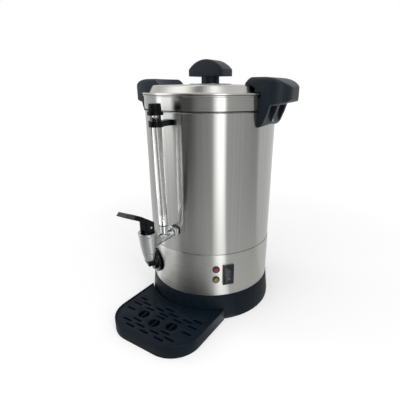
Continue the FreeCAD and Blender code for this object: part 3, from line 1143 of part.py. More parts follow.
def tap_valve():
    """The bonnet, the sprung stem with its rubber cup, and the lever's pin."""
    bonnet = Piece("tap_bonnet", y="-tap_reach")
    bonnet.turned(box_outline("stem_radius + screw_gap", "bonnet_bottom", "bonnet_radius", "bonnet_top"))
    stem = Piece("tap_stem", y="-tap_reach")
    foot = "seat_height + seal_gap + cup_floor"
    stem.turned([
        ("0", foot),
        ("stem_radius", foot),
        ("stem_radius", "collar_low"),
        ("stem_collar", "collar_low"),
        ("stem_collar", "collar_low + collar_thick"),
        ("stem_radius", "collar_low + collar_thick"),
        ("stem_radius", "eye_bottom"),
        ("stem_eye", "eye_bottom"),
        ("stem_eye", "stem_top - 1"),
        ("stem_eye - 1", "stem_top", "1", OUT),
        ("0", "stem_top"),
    ])
    hole = stem.sketch("YZ_Plane")
    circle(hole, "0", "pin_height", "pin_radius + screw_gap / 2")
    stem.extruded(hole, "4 * stem_eye", cut=True, both=True)
    cup = Piece("seat_cup", y="-tap_reach")
    cup.turned([
        ("0", "seat_height + seal_gap"),
        ("cup_radius", "seat_height + seal_gap"),
        ("cup_radius", CUP_TOP),
        ("stem_radius + screw_gap", CUP_TOP),
        ("stem_radius + screw_gap", foot),
        ("0", foot),
    ])
    pin = Piece("lever_pin", y="-tap_reach")
    rod = pin.sketch("YZ_Plane")
    circle(rod, "0", "pin_height", "pin_radius")
    pin.extruded(rod, "2 * pin_half", both=True)
    wire = value("spring_wire")
    low = value("collar_low + collar_thick") + wire
    length = value("bonnet_bottom") - wire - low
    radius = value("spring_radius")
    turns = value("spring_turns")
    helix = Part.makeHelix(length / turns, length, radius)
    section = Part.Wire(Part.Circle(V(radius, 0, 0), V(0, 1, 0), wire).toShape())
    spring = Part.Wire(helix.Edges).makePipeShell([section], True, True)
    made = free_shape("tap_spring", spring)
    made.Placement = FreeCAD.Placement(V(0, -value("tap_reach"), low), FreeCAD.Rotation())


def tap_lever():
    """The black lever: a hub forked round the stem, and an arm that rises towards the user."""
    piece = Piece("tap_lever", y="-tap_reach")
    profile = piece.sketch("YZ_Plane")
    outline(profile, [
        ("-(hub_front - hub_heel)", "hub_bottom", "hub_heel", OUT),
        ("hub_back - 1", "hub_bottom"),
        ("hub_back", "hub_bottom + 1", "1", OUT),
        ("hub_back", "hub_back_top - 2"),
        ("hub_back - 2", "hub_back_top", "2", OUT),
        ("-arm_bend", "arm_bend_top"),
        ("-(arm_reach - arm_tip_back)", "arm_tip_high"),
        ("-arm_reach", "arm_tip_low"),
        ("-hub_front", "arm_root"),
        ("-hub_front", "hub_bottom + hub_heel"),
    ])
    piece.extruded(profile, "hub_width", both=True)
    for side in (1, -1):
        trim = piece.sketch("XY_Plane", "hub_bottom - 1")
        inner = f"{side} * paddle_width / 2"
        outer = f"{side} * (hub_width / 2 + 1)"
        left, right = (inner, outer) if side == 1 else (outer, inner)
        rectangle(trim, left, "-arm_reach - 5", right, "-hub_front")
        piece.extruded(trim, cut=True, reverse=True)
    frame = piece.sketch("XY_Plane", "hub_bottom - 1")
    half = "(hub_width / 2)"
    rectangle(frame, f"-{half} - 2", "-(arm_reach + 2)", f"{half} + 2", "hub_back + 2")
    outline(frame, [
        (f"-{half}", "-(hub_front - hub_corner)"),
        (f"-({half} - hub_corner)", "-hub_front", "hub_corner", OUT),
        (f"{half} - hub_corner", "-hub_front"),
        (half, "-(hub_front - hub_corner)", "hub_corner", OUT),
        (half, "hub_back - hub_corner"),
        (f"{half} - hub_corner", "hub_back", "hub_corner", OUT),
        (f"-({half} - hub_corner)", "hub_back"),
        (f"-{half}", "hub_back - hub_corner", "hub_corner", OUT),
    ])
    piece.extruded(frame, "arm_root - hub_bottom + 1", cut=True, reverse=True)
    slot = piece.sketch("YZ_Plane")
    outline(slot, [
        ("-(hub_front + 1)", "hub_bottom - 1"),
        ("yoke_back", "hub_bottom - 1"),
        ("yoke_back", "yoke_top"),
        ("-yoke_front", "yoke_top"),
        ("-(hub_front + 1)", "yoke_mouth"),
    ])
    piece.extruded(slot, "2 * yoke_half", cut=True, both=True)
    hole = piece.sketch("YZ_Plane")
    circle(hole, "0", "pin_height", "pin_radius + running_gap")
    piece.extruded(hole, "2 * hub_width", cut=True, both=True)


def thermostat():
    """The dial and its shaft, and the thermostat with its bulb under the tank."""
    at = ("dial_azimuth", "dial_height")
    dial = Piece("thermostat_dial")
    skirt_end = "dial_start + dial_skirt_thick"
    dial.radial_rod(*at, "dial_skirt", "dial_start", skirt_end)
    dial.radial_rod(*at, "dial_drum", skirt_end, "dial_drum_end")
    dial.radial_box(*at, "dial_grip_length", "dial_grip", skirt_end, "dial_end")
    dial.radial_rod(*at, "shaft_radius + running_gap / 2", "dial_start - 1", "shaft_end + 0.5", cut=True)
    shaft = Piece("thermostat_shaft")
    shaft.radial_rod(*at, "shaft_radius", "shaft_start", "shaft_end")
    body = Piece("thermostat_body")
    body.radial_box(*at, "2 * thermostat_half", "2 * thermostat_half", "thermostat_start", "thermostat_end")
    body.radial_rod(*at, "thermostat_neck", "thermostat_end", "neck_end")
    body.radial_rod(*at, "shaft_radius + running_gap", "shaft_start - 0.5", "neck_end + 1", cut=True)
    centre = V(0, value("bulb_offset"), value(TANK_UNDER) - value("bulb_radius + fit_gap"))
    half = value("bulb_half")
    bulb = Part.makeCylinder(value("bulb_radius"), 2 * half, centre - V(half, 0, 0), V(1, 0, 0))
    drop = f"{TANK_UNDER} - bulb_radius - fit_gap"
    back = "(thermostat_start + 6)"
    capillary = bent_tube([
        ("-bulb_half + 1", "bulb_offset", drop),
        ("-bulb_half - 16", "bulb_offset", drop),
        ("-bulb_offset", "bulb_half", f"{drop} - 8"),
        ("-bulb_offset", "-bulb_half / 2", "dial_height + thermostat_half + 14"),
        (f"{back} * sin(dial_azimuth)", f"-{back} * cos(dial_azimuth)", "dial_height + thermostat_half + 14"),
        (f"{back} * sin(dial_azimuth)", f"-{back} * cos(dial_azimuth)", "dial_height + thermostat_half"),
    ], value("capillary_bend"), value("capillary"))
    free_shape("thermostat_bulb", bulb.fuse(capillary))


def power_switch():
    """The switch's housing with its bezel, and the rocker on its two pins."""
    at = ("switch_azimuth", "switch_height")
    body = Piece("switch_body")
    body.radial_box(*at, "housing_width", "housing_height", "housing_start", "bezel_start")
    body.radial_box(*at, "bezel_width", "bezel_height", "bezel_start", "bezel_end")
    body.radial_box(*at, "cavity_width", "cavity_height", "cavity_start", "bezel_end + 1", cut=True)
    pivot = body.sketch("YZ_Plane", turn="switch_azimuth")
    circle(pivot, "-rocker_pivot", "switch_height", "rocker_pin + running_gap")
    body.extruded(pivot, "2 * bezel_width", cut=True, both=True)
    rocker = Piece("switch_rocker")
    profile = rocker.sketch("YZ_Plane", turn="switch_azimuth")
    outline(profile, [
        ("-rocker_back", "switch_height - rocker_back_half"),
        ("-rocker_back", "switch_height + rocker_back_half"),
        ("-(rocker_face - 3)", "switch_height + rocker_pressed"),
        ("-rocker_face", "switch_height + rocker_pressed"),
        ("-rocker_face", "switch_height"),
        ("-rocker_raised_end", "switch_height - rocker_raised"),
        ("-(rocker_raised_end - 3)", "switch_height - rocker_raised - 0.6"),
    ])
    rocker.extruded(profile, "rocker_width", both=True)
    pins = rocker.sketch("YZ_Plane", turn="switch_azimuth")
    circle(pins, "-rocker_pivot", "switch_height", "rocker_pin")
    rocker.extruded(pins, "2 * rocker_pin_half", both=True)


def lamps():
    """Two lamps: a coloured lens each, and their black bodies with the nuts behind the band."""
    bodies = Piece("lamp_bodies")
    nut_end = f"(sqrt({BAND_INNER} ^ 2 - lamp_nut ^ 2) - running_gap)"
    for label, height in (("red_lens", "red_height"), ("amber_lens", "amber_height")):
        at = ("lamp_azimuth", height)
        bodies.radial_rod(*at, "lamp_bezel", "bezel_start", "lamp_bezel_end")
        bodies.radial_rod(*at, "lamp_barrel", "lamp_start", "bezel_start")
        bodies.radial_rod(*at, "lamp_nut", f"{nut_end} - lamp_nut_thick", nut_end)
        bodies.radial_rod(*at, "lens_radius + screw_gap", "lens_start", "lamp_bezel_end + 1", cut=True)
        lens = Piece(label)
        lens.radial_rod(*at, "lens_radius", "lens_start", "lens_end")
        far = value("lens_end") - 0.01
        lens.rounded("lens_round", lambda edge: math.hypot(edge.CenterOfMass.x, edge.CenterOfMass.y) > far)


def cord_gland():
    """The gland at the back, through which a cord would enter, and its nut."""
    at = ("180", "gland_height")
    gland = Piece("cord_gland")
    gland.radial_rod(*at, "gland_barrel", "gland_start", "bezel_start")
    gland.radial_rod(*at, "gland_flange", "bezel_start", "gland_flange_end")
    gland.radial_rod(*at, "gland_nose", "gland_flange_end", "gland_end")
    gland.radial_rod(*at, "gland_bore", "gland_start - 1", "gland_end + 1", cut=True)
    nut = Piece("gland_nut")
    far = f"(sqrt({BAND_INNER} ^ 2 - (gland_nut_flats / sqrt(3)) ^ 2) - running_gap)"
    near = f"{far} - gland_nut_thick"
    nut.radial_hexagon(*at, "gland_nut_flats", near, far)
    nut.radial_rod(*at, "gland_barrel + screw_gap", f"{near} - 1", f"{far} + 1", cut=True)


def heater():
    """The heater under the tank: plate, ring element, nut on the tank's stud, and two cut-outs."""
    plate = Piece("heater_plate")
    plate.turned(box_outline("stud_radius + screw_gap", HEATER_LOW, "heater_radius", TANK_UNDER))
    element = Piece("heating_element")
    middle = ELEMENT_HEIGHT
    profile = element.sketch(turn="90 + element_gap_angle / 2")
    circle(profile, "element_circle", middle, "element_radius")
    made, before, cut = element.feature("Revolution", profile, False)
    made.ReferenceAxis = (profile, ["V_Axis"])
    made.setExpression("Angle", bind("360 - element_gap_angle"))
    element.settle(made, before, cut)
    for side in (1, -1):
        turn = f"180 + {side} * {TERMINAL_ANGLE}"
        low = f"{middle} - terminal_length"
        element.upright_rod("terminal_radius", low, middle, y="-element_circle", turn=turn)
    nut = Piece("heater_nut")
    profile = nut.sketch("XY_Plane", f"{HEATER_LOW} - heater_nut_thick")
    outline(profile, hexagon("heater_nut_flats"))
    circle(profile, "0", "0", "stud_radius + running_gap")
    nut.extruded(profile, "heater_nut_thick")
    cutouts = Piece("thermal_cutouts")
    low = f"{HEATER_LOW} - cutout_height"
    for side in ("", "-"):
        cutouts.upright_rod("cutout_radius", low, HEATER_LOW, x=f"{side}cutout_offset")


def electrics():
    """The terminal block and the earth stud on the bottom cover."""
    block = Piece("terminal_block")
    profile = block.sketch("XY_Plane", COVER_TOP)
    rectangle(profile, "-block_length / 2", "block_offset - block_width / 2", "block_length / 2",
              "block_offset + block_width / 2")
    block.extruded(profile, "block_height")
    top = f"{COVER_TOP} + block_height"
    for number in (-1, 0, 1):
        at = {"x": f"{number} * terminal_pitch", "y": "block_offset"}
        block.upright_rod("wire_radius + screw_gap", WIRE_START, f"{top} + 1", **at, cut=True)
    stud = Piece("earth_stud")
    stud.upright_rod("cover_screw_head", SCREW_HEAD_LOW, "cover_bottom", x="earth_offset")
    stud.upright_rod("earth_radius", "cover_bottom", EARTH_TOP, x="earth_offset")
    nut = Piece("earth_nut")
    profile = nut.sketch("XY_Plane", COVER_TOP)
    corners = [(f"earth_offset + {x}", y) for x, y in hexagon("earth_nut_flats")]
    outline(profile, corners)
    circle(profile, "earth_offset", "0", "earth_radius + running_gap")
    nut.extruded(profile, "earth_nut_thick")


def wires():
    """Two wires from the terminal block to the heating element, and one to the earth stud."""
    terminal_low = f"{ELEMENT_HEIGHT} - terminal_length"
    runs = []
    for side in (1, -1):
        start = (f"{side} * terminal_pitch", "block_offset")
        end = (f"{side} * element_circle * sin({TERMINAL_ANGLE})", f"element_circle * cos({TERMINAL_ANGLE})")
        runs.append([
            (*start, WIRE_START),
            (*start, f"{terminal_low} - 2 * wire_rise"),
            (*end, f"{terminal_low} - wire_rise"),
            (*end, terminal_low),
        ])
    runs.append([
        ("0", "block_offset", WIRE_START),
        ("0", "block_offset", f"{EARTH_TOP} + wire_rise"),
        ("earth_offset", "0", f"{EARTH_TOP} + wire_rise"),
        ("earth_offset", "0", EARTH_TOP),
    ])
    tubes = [bent_tube(corners, value("wire_bend"), value("wire_radius")) for corners in runs]
    free_shape("wires", Part.makeCompound(tubes))


def tray_plan(inset, back):
    """The plan of the tray or of what fits in it, set in from the tray's outline."""
    half = f"(tray_half - {inset})"
    front = f"(tray_front - {inset})"
    corner = f"(tray_corner - {inset})"
    side_back = f"-sqrt({back} ^ 2 - {half} ^ 2)"
    return [
        (f"-{half}", side_back),
        (f"-{half}", f"-({front} - {corner})"),
        (f"-({half} - {corner})", f"-{front}", corner, OUT),
        (f"{half} - {corner}", f"-{front}"),
        (half, f"-({front} - {corner})", corner, OUT),
        (half, side_back),
    ], (f"-{half}", side_back, back)


def draw_tray_plan(profile, inset, back):
    """Draw a tray plan: straight sides, round front corners and a hollow back."""
    corners, (x, y, radius) = tray_plan(inset, back)
    corners[0] = (x, y, radius, IN)
    outline(profile, corners)


def drip_tray():
    """The tray: a shallow basin with a rim, a ledge, a hollow back and two tongues."""
    piece = Piece("drip_tray")
    plan = piece.sketch("XY_Plane")
    draw_tray_plan(plan, "0", TRAY_BACK)
    piece.extruded(plan, "tray_top")
    recess = piece.sketch("XY_Plane", GRILLE_LOW)
    draw_tray_plan(recess, "tray_lip", f"({TRAY_BACK} + tray_back_wall)")
    piece.extruded(recess, f"tray_top + 1 - {GRILLE_LOW}", cut=True, reverse=True)
    basin = piece.sketch("XY_Plane", "tray_floor")
    draw_tray_plan(basin, "(tray_lip + tray_ledge)", f"({TRAY_BACK} + tray_back_wall + tray_ledge)")
    piece.extruded(basin, "tray_top - tray_floor", cut=True, reverse=True)
    top = value("tray_top")
    lip = value("tray_lip")
    front = value("tray_front")
    half = value("tray_half")

    def outer_top_edge(edge):
        """True for the rim's outer edge at the front and the sides."""
        box = edge.BoundBox
        level = box.ZMax > top - 0.01 and box.ZMin > top - 0.01
        outer = box.YMin < -(front - lip / 2) or box.XMax > half - lip / 2 or box.XMin < -(half - lip / 2)
        return level and outer and box.YMax < -value("sqrt(ring_foot_radius ^ 2 - tray_half ^ 2)") + 1

    piece.rounded("tray_round", outer_top_edge)
    for side in ("-", ""):
        tongue = piece.sketch("XY_Plane", "tongue_low")
        middle = f"{side}tongue_offset"
        rectangle(tongue, f"{middle} - tongue_width / 2", f"-({TRAY_BACK} + tray_back_wall / 2)",
                  f"{middle} + tongue_width / 2", "-tongue_end")
        piece.extruded(tongue, "tongue_thick")


def drip_grille():
    """The grille: a plate with rows of slots and three round drains."""
    piece = Piece("drip_grille")
    plan = piece.sketch("XY_Plane", GRILLE_LOW)
    draw_tray_plan(plan, "(tray_lip + grille_gap)", f"({TRAY_BACK} + tray_back_wall + grille_gap)")
    piece.extruded(plan, "grille_thick")
    low = f"({GRILLE_LOW} - 1)"
    depth = "grille_thick + 2"
    rows = [
        (0, (-2, 0, 2)), (1, (-1.5, -0.5, 0.5, 1.5)), (2, (-2, -1, 0, 1, 2)), (3, (0,)), (4, (-2, 2)),
        (6, (-1, 1)), (7, (-1.5, -0.5, 0.5, 1.5)), (8, (-1, 0, 1)),
    ]
    radius = "slot_width / 2"
    reach = "(slot_length - slot_width) / 2"
    for row, columns in rows:
        slots = piece.sketch("XY_Plane", low)
        y = f"-(slot_start + {row} * slot_row)"
        for column in columns:
            x = f"{column} * slot_column"
            outline(slots, [
                (f"{x} - {reach}", f"{y} - {radius}", radius, OUT),
                (f"{x} + {reach}", f"{y} - {radius}"),
                (f"{x} + {reach} + {radius}", y, radius, OUT),
                (f"{x} + {reach}", f"{y} + {radius}", radius, OUT),
                (f"{x} - {reach}", f"{y} + {radius}"),
                (f"{x} - {reach} - {radius}", y, radius, OUT),
            ])
        piece.extruded(slots, depth, cut=True, reverse=True)
    drains = piece.sketch("XY_Plane", low)
    edge = "(drain_bar / 2)"
    half = f"sqrt(drain_radius ^ 2 - {edge} ^ 2)"
    for column, row in ((-1, 4), (0, 5), (1, 4)):
        x = f"{column} * slot_column"
        y = f"-(slot_start + {row} * slot_row)"
        outline(drains, [
            (f"{x} + {edge}", f"{y} - {half}"),
            (f"{x} + drain_radius", y, "drain_radius", OUT),
            (f"{x} + {edge}", f"{y} + {half}", "drain_radius", OUT),
        ])
        outline(drains, [
            (f"{x} - {edge}", f"{y} + {half}"),
            (f"{x} - drain_radius", y, "drain_radius", OUT),
            (f"{x} - {edge}", f"{y} - {half}", "drain_radius", OUT),
        ])
    piece.extruded(drains, depth, cut=True, reverse=True)


outer_shell()
inner_tank()
base_band()
base_ring()
bottom_cover()
rubber_feet()
cover_screws()
lid()
lid_knob()
knob_washer()
knob_screw()
handle("handle_right", "0")
handle("handle_left", "180")
handle_screws()
tap_shank()
shank_fittings()
sight_gauge()
gauge_clip()
tap_body()
tap_valve()
tap_lever()
thermostat()
power_switch()
lamps()
cord_gland()
heater()
electrics()
wires()
drip_tray()
drip_grille()

doc.recompute()
for thing in doc.Objects:
    if "Invalid" in thing.State or "Error" in thing.State:
        raise RuntimeError(f"{thing.Label} failed: {thing.State}")
for thing in Piece.made:
    if thing.Shape.isNull() or not thing.Shape.isValid() or not thing.Shape.Solids:
        raise RuntimeError(f"{thing.Label} has no valid solid")
os.makedirs("parts", exist_ok=True)
for thing in Piece.made:
    thing.Shape.exportStep(f"parts/{thing.Label}.step")
    box = thing.Shape.BoundBox
    print(f"{thing.Label}: {len(thing.Shape.Solids)} solid(s), {thing.Shape.Volume:.0f} mm3, "
          f"{box.XLength:.1f} x {box.YLength:.1f} x {box.ZLength:.1f}")
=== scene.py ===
import json
import logging
import math
from dataclasses import dataclass, field
from enum import Enum
from typing import Sequence

import bmesh
import bpy
from mathutils import Matrix, Vector

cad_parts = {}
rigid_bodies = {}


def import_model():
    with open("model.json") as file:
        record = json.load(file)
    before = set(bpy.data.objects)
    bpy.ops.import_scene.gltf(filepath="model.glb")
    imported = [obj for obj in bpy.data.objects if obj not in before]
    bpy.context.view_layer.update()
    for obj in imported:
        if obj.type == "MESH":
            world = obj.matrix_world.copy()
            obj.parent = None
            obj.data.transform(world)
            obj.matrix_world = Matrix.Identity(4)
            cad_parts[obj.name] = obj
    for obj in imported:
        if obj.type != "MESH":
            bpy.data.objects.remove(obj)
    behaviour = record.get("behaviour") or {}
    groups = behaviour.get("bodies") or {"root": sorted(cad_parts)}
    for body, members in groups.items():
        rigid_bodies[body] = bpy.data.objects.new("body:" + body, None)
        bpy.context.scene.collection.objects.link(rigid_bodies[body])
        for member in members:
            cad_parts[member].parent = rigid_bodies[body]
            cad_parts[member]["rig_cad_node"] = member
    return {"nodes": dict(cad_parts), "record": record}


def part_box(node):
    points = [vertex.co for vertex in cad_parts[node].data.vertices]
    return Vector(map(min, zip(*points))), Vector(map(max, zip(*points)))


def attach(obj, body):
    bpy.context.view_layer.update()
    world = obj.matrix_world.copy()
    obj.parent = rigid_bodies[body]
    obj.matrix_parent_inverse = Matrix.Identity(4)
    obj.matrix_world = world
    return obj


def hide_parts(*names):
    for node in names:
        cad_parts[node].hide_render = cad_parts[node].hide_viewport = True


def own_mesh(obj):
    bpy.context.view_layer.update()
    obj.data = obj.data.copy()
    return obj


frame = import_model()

LOG = logging.getLogger("urn")
NODES = frame["nodes"]
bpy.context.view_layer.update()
FULL_TURN = 2 * math.pi
MM = 0.001
ARC_STEPS = 6
TURN_STEPS = 160
SMOOTH_UNDER = 32.0
EASED_OVER = 28.0
SWITCH_AZIMUTH = 48.1
SWITCH_HEIGHT = 88.3 * MM

Colour = tuple[float, float, float]
Mesh = bmesh.types.BMesh
Socket = bpy.types.NodeSocket
Stops = Sequence[tuple[float, float]]


def grey(level: float) -> Colour:
    """A neutral colour of one level."""
    return (level, level, level)


class Grain(Enum):
    """The way that steel is brushed."""

    UPRIGHT = "along Z"
    AROUND = "around Z"
    TURNED = "in rings on a flat face"
    NONE = "not brushed"


class Graph:
    """Adds nodes to a tree and links them."""

    def __init__(self, tree: bpy.types.NodeTree) -> None:
        """Start on a tree that is there."""
        self.tree = tree

    def node(self, kind: str, settings: dict | None = None, **inputs: object) -> bpy.types.Node:
        """Add a node.

        Args:
            kind: The node's type without its ShaderNode prefix.
            settings: Properties of the node itself.
            inputs: Values or sockets for its inputs, by names written with underscores.

        Returns:
            The node.
        """
        made = self.tree.nodes.new("ShaderNode" + kind)
        for name, value in (settings or {}).items():
            setattr(made, name, value)
        for name, value in inputs.items():
            index = int(name[1:]) if name[0] == "i" and name[1:].isdigit() else name.replace("_", " ")
            self.feed(made.inputs[index], value)
        return made

    def feed(self, socket: Socket, value: object) -> None:
        """Link a socket to another, or set its value."""
        if isinstance(value, Socket):
            self.tree.links.new(value, socket)
        else:
            socket.default_value = value

    def math(self, operation: str, first: object, second: object = 0.0) -> Socket:
        """The result of one operation on two values."""
        return self.node("Math", {"operation": operation}, i0=first, i1=second).outputs[0]

    def vector(self, operation: str, first: object, second: object = (0.0, 0.0, 0.0)) -> Socket:
        """The vector that one operation on two vectors gives."""
        return self.node("VectorMath", {"operation": operation}, i0=first, i1=second).outputs[0]

    def length(self, vector: Socket) -> Socket:
        """The length of a vector."""
        return self.node("VectorMath", {"operation": "LENGTH"}, i0=vector).outputs["Value"]

    def ramp(self, value: object, low: float, high: float, from_low: float = 0.25,
             from_high: float = 0.75, shape: str = "LINEAR") -> Socket:
        """A value from low to high as another goes from from_low to from_high."""
        return self.node("MapRange", {"interpolation_type": shape}, Value=value, From_Min=from_low,
                         From_Max=from_high, To_Min=low, To_Max=high).outputs[0]

    def blend(self, factor: object, first: Colour, second: Colour) -> Socket:
        """A mix of two colours."""
        made = self.node("Mix", {"data_type": "RGBA"}, i0=factor, i6=(*first, 1.0), i7=(*second, 1.0))
        return made.outputs[2]


class Shader(Graph):
    """Builds the nodes of one material round its Principled shader."""

    def __init__(self, name: str) -> None:
        """Start a material of a name."""
        self.material = bpy.data.materials.new(name)
        self.material.use_nodes = True
        super().__init__(self.material.node_tree)
        self.surface = self.tree.nodes["Principled BSDF"]
        self.coordinates = self.node("TexCoord").outputs["Object"]

    def constant(self, **values: object) -> None:
        """Set the shader's own sockets, by names written with underscores."""
        for name, value in values.items():
            socket = self.surface.inputs[name.replace("_", " ").title().replace("Ior", "IOR")]
            socket.default_value = (*value, 1.0) if isinstance(value, tuple) else value

    def axis(self, name: str) -> Socket:
        """One of the object coordinates, X, Y or Z."""
        return self.node("SeparateXYZ", Vector=self.coordinates).outputs[name]

    def off_axis(self, point: Vector, axis: Vector) -> Socket:
        """How far a place is from the line through a point along an axis of length 1."""
        return self.length(self.vector("CROSS_PRODUCT", self.vector("SUBTRACT", self.coordinates, point), axis))

    def stretched(self, scale: Colour) -> Socket:
        """Object coordinates stretched by a scale along each axis, counted per metre."""
        return self.node("Mapping", Vector=self.coordinates, Scale=scale).outputs[0]

    def noise(self, scale: Colour, detail: float = 2.0, seed: float = 0.0) -> Socket:
        """Noise over stretched object coordinates, from 0 to 1."""
        made = self.node("TexNoise", {"noise_dimensions": "4D"}, Vector=self.stretched(scale), W=seed,
                         Scale=1.0, Detail=detail, Roughness=0.6)
        return made.outputs[0]

    def rings(self, density: float) -> Socket:
        """Noise that changes with the distance from the Z axis."""
        flat = self.vector("MULTIPLY", self.coordinates, (1.0, 1.0, 0.0))
        along = self.math("MULTIPLY", self.length(flat), density)
        made = self.node("TexNoise", {"noise_dimensions": "1D"}, W=along, Scale=1.0, Detail=2.0)
        return made.outputs[0]

    def colour(self, value: Socket) -> None:
        """Link the base colour."""
        self.feed(self.surface.inputs["Base Color"], value)

    def cover(self, share: Socket, colour: Colour) -> None:
        """Lay another colour over a share of the base colour."""
        base = self.surface.inputs["Base Color"]
        below = base.links[0].from_socket
        made = self.node("Mix", {"data_type": "RGBA"}, i0=share, i6=below, i7=(*colour, 1.0))
        self.feed(base, made.outputs[2])

    def roughness(self, value: Socket) -> None:
        """Link the roughness."""
        self.feed(self.surface.inputs["Roughness"], value)

    def bump(self, height: Socket, depth: float, strength: float = 1.0) -> None:
        """Add a bump of a depth in metres, on top of any that is there."""
        made = self.node("Bump", Height=height, Distance=depth, Strength=strength)
        normal = self.surface.inputs["Normal"]
        if normal.links:
            self.feed(made.inputs["Normal"], normal.links[0].from_socket)
        self.feed(normal, made.outputs[0])


def darker(colour: Colour, share: float) -> Colour:
    """A colour made darker by a share of itself."""
    return tuple(channel * (1 - share) for channel in colour)


@dataclass(frozen=True)
class Steel:
    """Bare steel, brushed one way, which smears its highlights up and down the wall."""

    name: str
    tint: Colour
    rough: float
    grain: Grain
    streaks: float = 0.12
    smear: float = 0.0
    seam: float | None = None
    relief: float = 0.12

    def material(self) -> bpy.types.Material:
        """Build the material."""
        shader = Shader(self.name)
        shader.constant(metallic=1.0)
        if self.grain is Grain.TURNED:
            fine = shader.rings(2600.0)
            wide = shader.rings(420.0)
        else:
            along, across = {
                Grain.UPRIGHT: ((60.0, 60.0, 2600.0), (230.0, 230.0, 2.5)),
                Grain.AROUND: ((14.0, 14.0, 2400.0), (5.0, 5.0, 330.0)),
                Grain.NONE: ((900.0, 900.0, 900.0), (60.0, 60.0, 60.0)),
            }[self.grain]
            fine = shader.noise(along)
            wide = shader.noise(across, seed=3.0)
        if self.smear:
            shader.constant(anisotropic=self.smear, anisotropic_rotation=0.25)
            tangent = shader.node("Tangent", {"direction_type": "RADIAL", "axis": "Z"})
            shader.feed(shader.surface.inputs["Tangent"], tangent.outputs[0])
        tone = shader.ramp(wide, 0.0, 1.0)
        if self.seam is not None:
            tone = shader.math("SUBTRACT", tone, self.seam_mask(shader))
        shader.colour(shader.blend(tone, darker(self.tint, self.streaks), self.tint))
        shader.roughness(shader.math("ADD", shader.ramp(fine, -0.03, 0.03),
                                     shader.ramp(wide, self.rough - 0.02, self.rough + 0.02)))
        shader.bump(fine, 0.00001, self.relief)
        return shader.material

    def seam_mask(self, shader: Shader) -> Socket:
        """Where the welded seam down the back is, from 0 to 1."""
        away = shader.math("ABSOLUTE", shader.math("SUBTRACT", shader.axis("X"), self.seam))
        line = shader.ramp(away, 1.0, 0.0, 0.4 * MM, 1.1 * MM, "SMOOTHSTEP")
        return shader.math("MULTIPLY", line, shader.ramp(shader.axis("Y"), 0.0, 1.0, 0.0, 0.02))


@dataclass(frozen=True)
class Plated:
    """Bright plating, with the faint haze of handling."""

    name: str
    tint: Colour
    rough: float
    haze: float = 0.05

    def material(self) -> bpy.types.Material:
        """Build the material."""
        shader = Shader(self.name)
        shader.constant(metallic=1.0)
        cloud = shader.noise((70.0, 70.0, 50.0), detail=4.0)
        shader.colour(shader.blend(shader.ramp(cloud, 0.0, 1.0), darker(self.tint, 0.06), self.tint))
        shader.roughness(shader.ramp(cloud, self.rough, self.rough + self.haze))
        return shader.material


@dataclass(frozen=True)
class Moulded:
    """Moulded plastic or rubber, with a fine grain and a little dust in it."""

    name: str
    tint: Colour
    rough: float
    grain_size: float = 0.0006
    grain_depth: float = 0.00003
    gloss: float = 0.35

    def material(self) -> bpy.types.Material:
        """Build the material."""
        return self.shader().material

    def shader(self) -> Shader:
        """Build the shader, which a worn finish adds to."""
        shader = Shader(self.name)
        shader.constant(metallic=0.0, ior=1.5, specular_ior_level=self.gloss)
        density = 1.0 / self.grain_size
        grain = shader.noise((density, density, density), detail=1.0)
        cloud = shader.noise((24.0, 24.0, 24.0), detail=5.0, seed=7.0)
        lighter = tuple(min(1.0, channel * 1.3 + 0.002) for channel in self.tint)
        shader.colour(shader.blend(shader.ramp(cloud, 0.0, 1.0), self.tint, lighter))
        shader.roughness(shader.math("ADD", shader.ramp(grain, -0.03, 0.03),
                                     shader.ramp(cloud, self.rough - 0.03, self.rough + 0.04)))
        shader.bump(grain, self.grain_depth, 0.5)
        return shader


@dataclass(frozen=True)
class PaintedSheenPaddle(Moulded):
    """Moulded plastic with a painted sheen: coloured paler beyond one place along Y, a painted reflection on
    the lever arm's flat end.
    """

    painted_sheen: Colour = (0.055, 0.055, 0.055)
    sheen_from: float = -0.202
    sheen_to: float = -0.207

    def material(self) -> bpy.types.Material:
        """Build the material with its painted pale end."""
        shader = self.shader()
        # painted reflection: the arm's end is coloured paler beyond one place along Y, with a wandering edge
        edge_wander = shader.ramp(shader.noise((300.0, 300.0, 300.0), detail=4.0, seed=2.0), -0.0015, 0.0015)
        place = shader.math("ADD", shader.axis("Y"), edge_wander)
        share = shader.ramp(place, 0.0, 1.0, self.sheen_from, self.sheen_to, "SMOOTHSTEP")
        shader.cover(share, self.painted_sheen)
        return shader.material


@dataclass(frozen=True)
class Clear:
    """Clear or coloured plastic that lets light through, darker round the edge of a lens."""

    name: str
    tint: Colour
    rough: float = 0.02
    facets: float = 0.0
    passes: float = 1.0
    lens: str = ""
    edge_shade: float = 0.88
    edge_from: float = 0.45

    def material(self) -> bpy.types.Material:
        """Build the material."""
        shader = Shader(self.name)
        shader.constant(base_color=self.tint, metallic=0.0, ior=1.49, transmission_weight=self.passes)
        cloud = shader.noise((40.0, 40.0, 25.0), detail=3.0)
        shader.roughness(shader.ramp(cloud, self.rough, self.rough + 0.03))
        if self.facets:
            density = 1.0 / self.facets
            cells = shader.node("TexVoronoi", Vector=shader.stretched((density, density, density)), Scale=1.0)
            shader.bump(cells.outputs["Distance"], self.facets * 0.3, 0.5)
        if self.lens:
            shader.colour(shader.blend(self.edge(shader), self.tint, darker(self.tint, self.edge_shade)))
        return shader.material

    def edge(self, shader: Shader) -> Socket:
        """How near a place is to the edge of the lens, from 0 to 1."""
        low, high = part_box(self.lens)
        centre = (low + high) / 2
        axis = Vector((centre.x, centre.y, 0.0)).normalized()
        radius = (high.z - low.z) / 2
        reach = shader.off_axis(centre, axis)
        return shader.ramp(reach, 0.0, 1.0, radius * self.edge_from, radius, "SMOOTHSTEP")


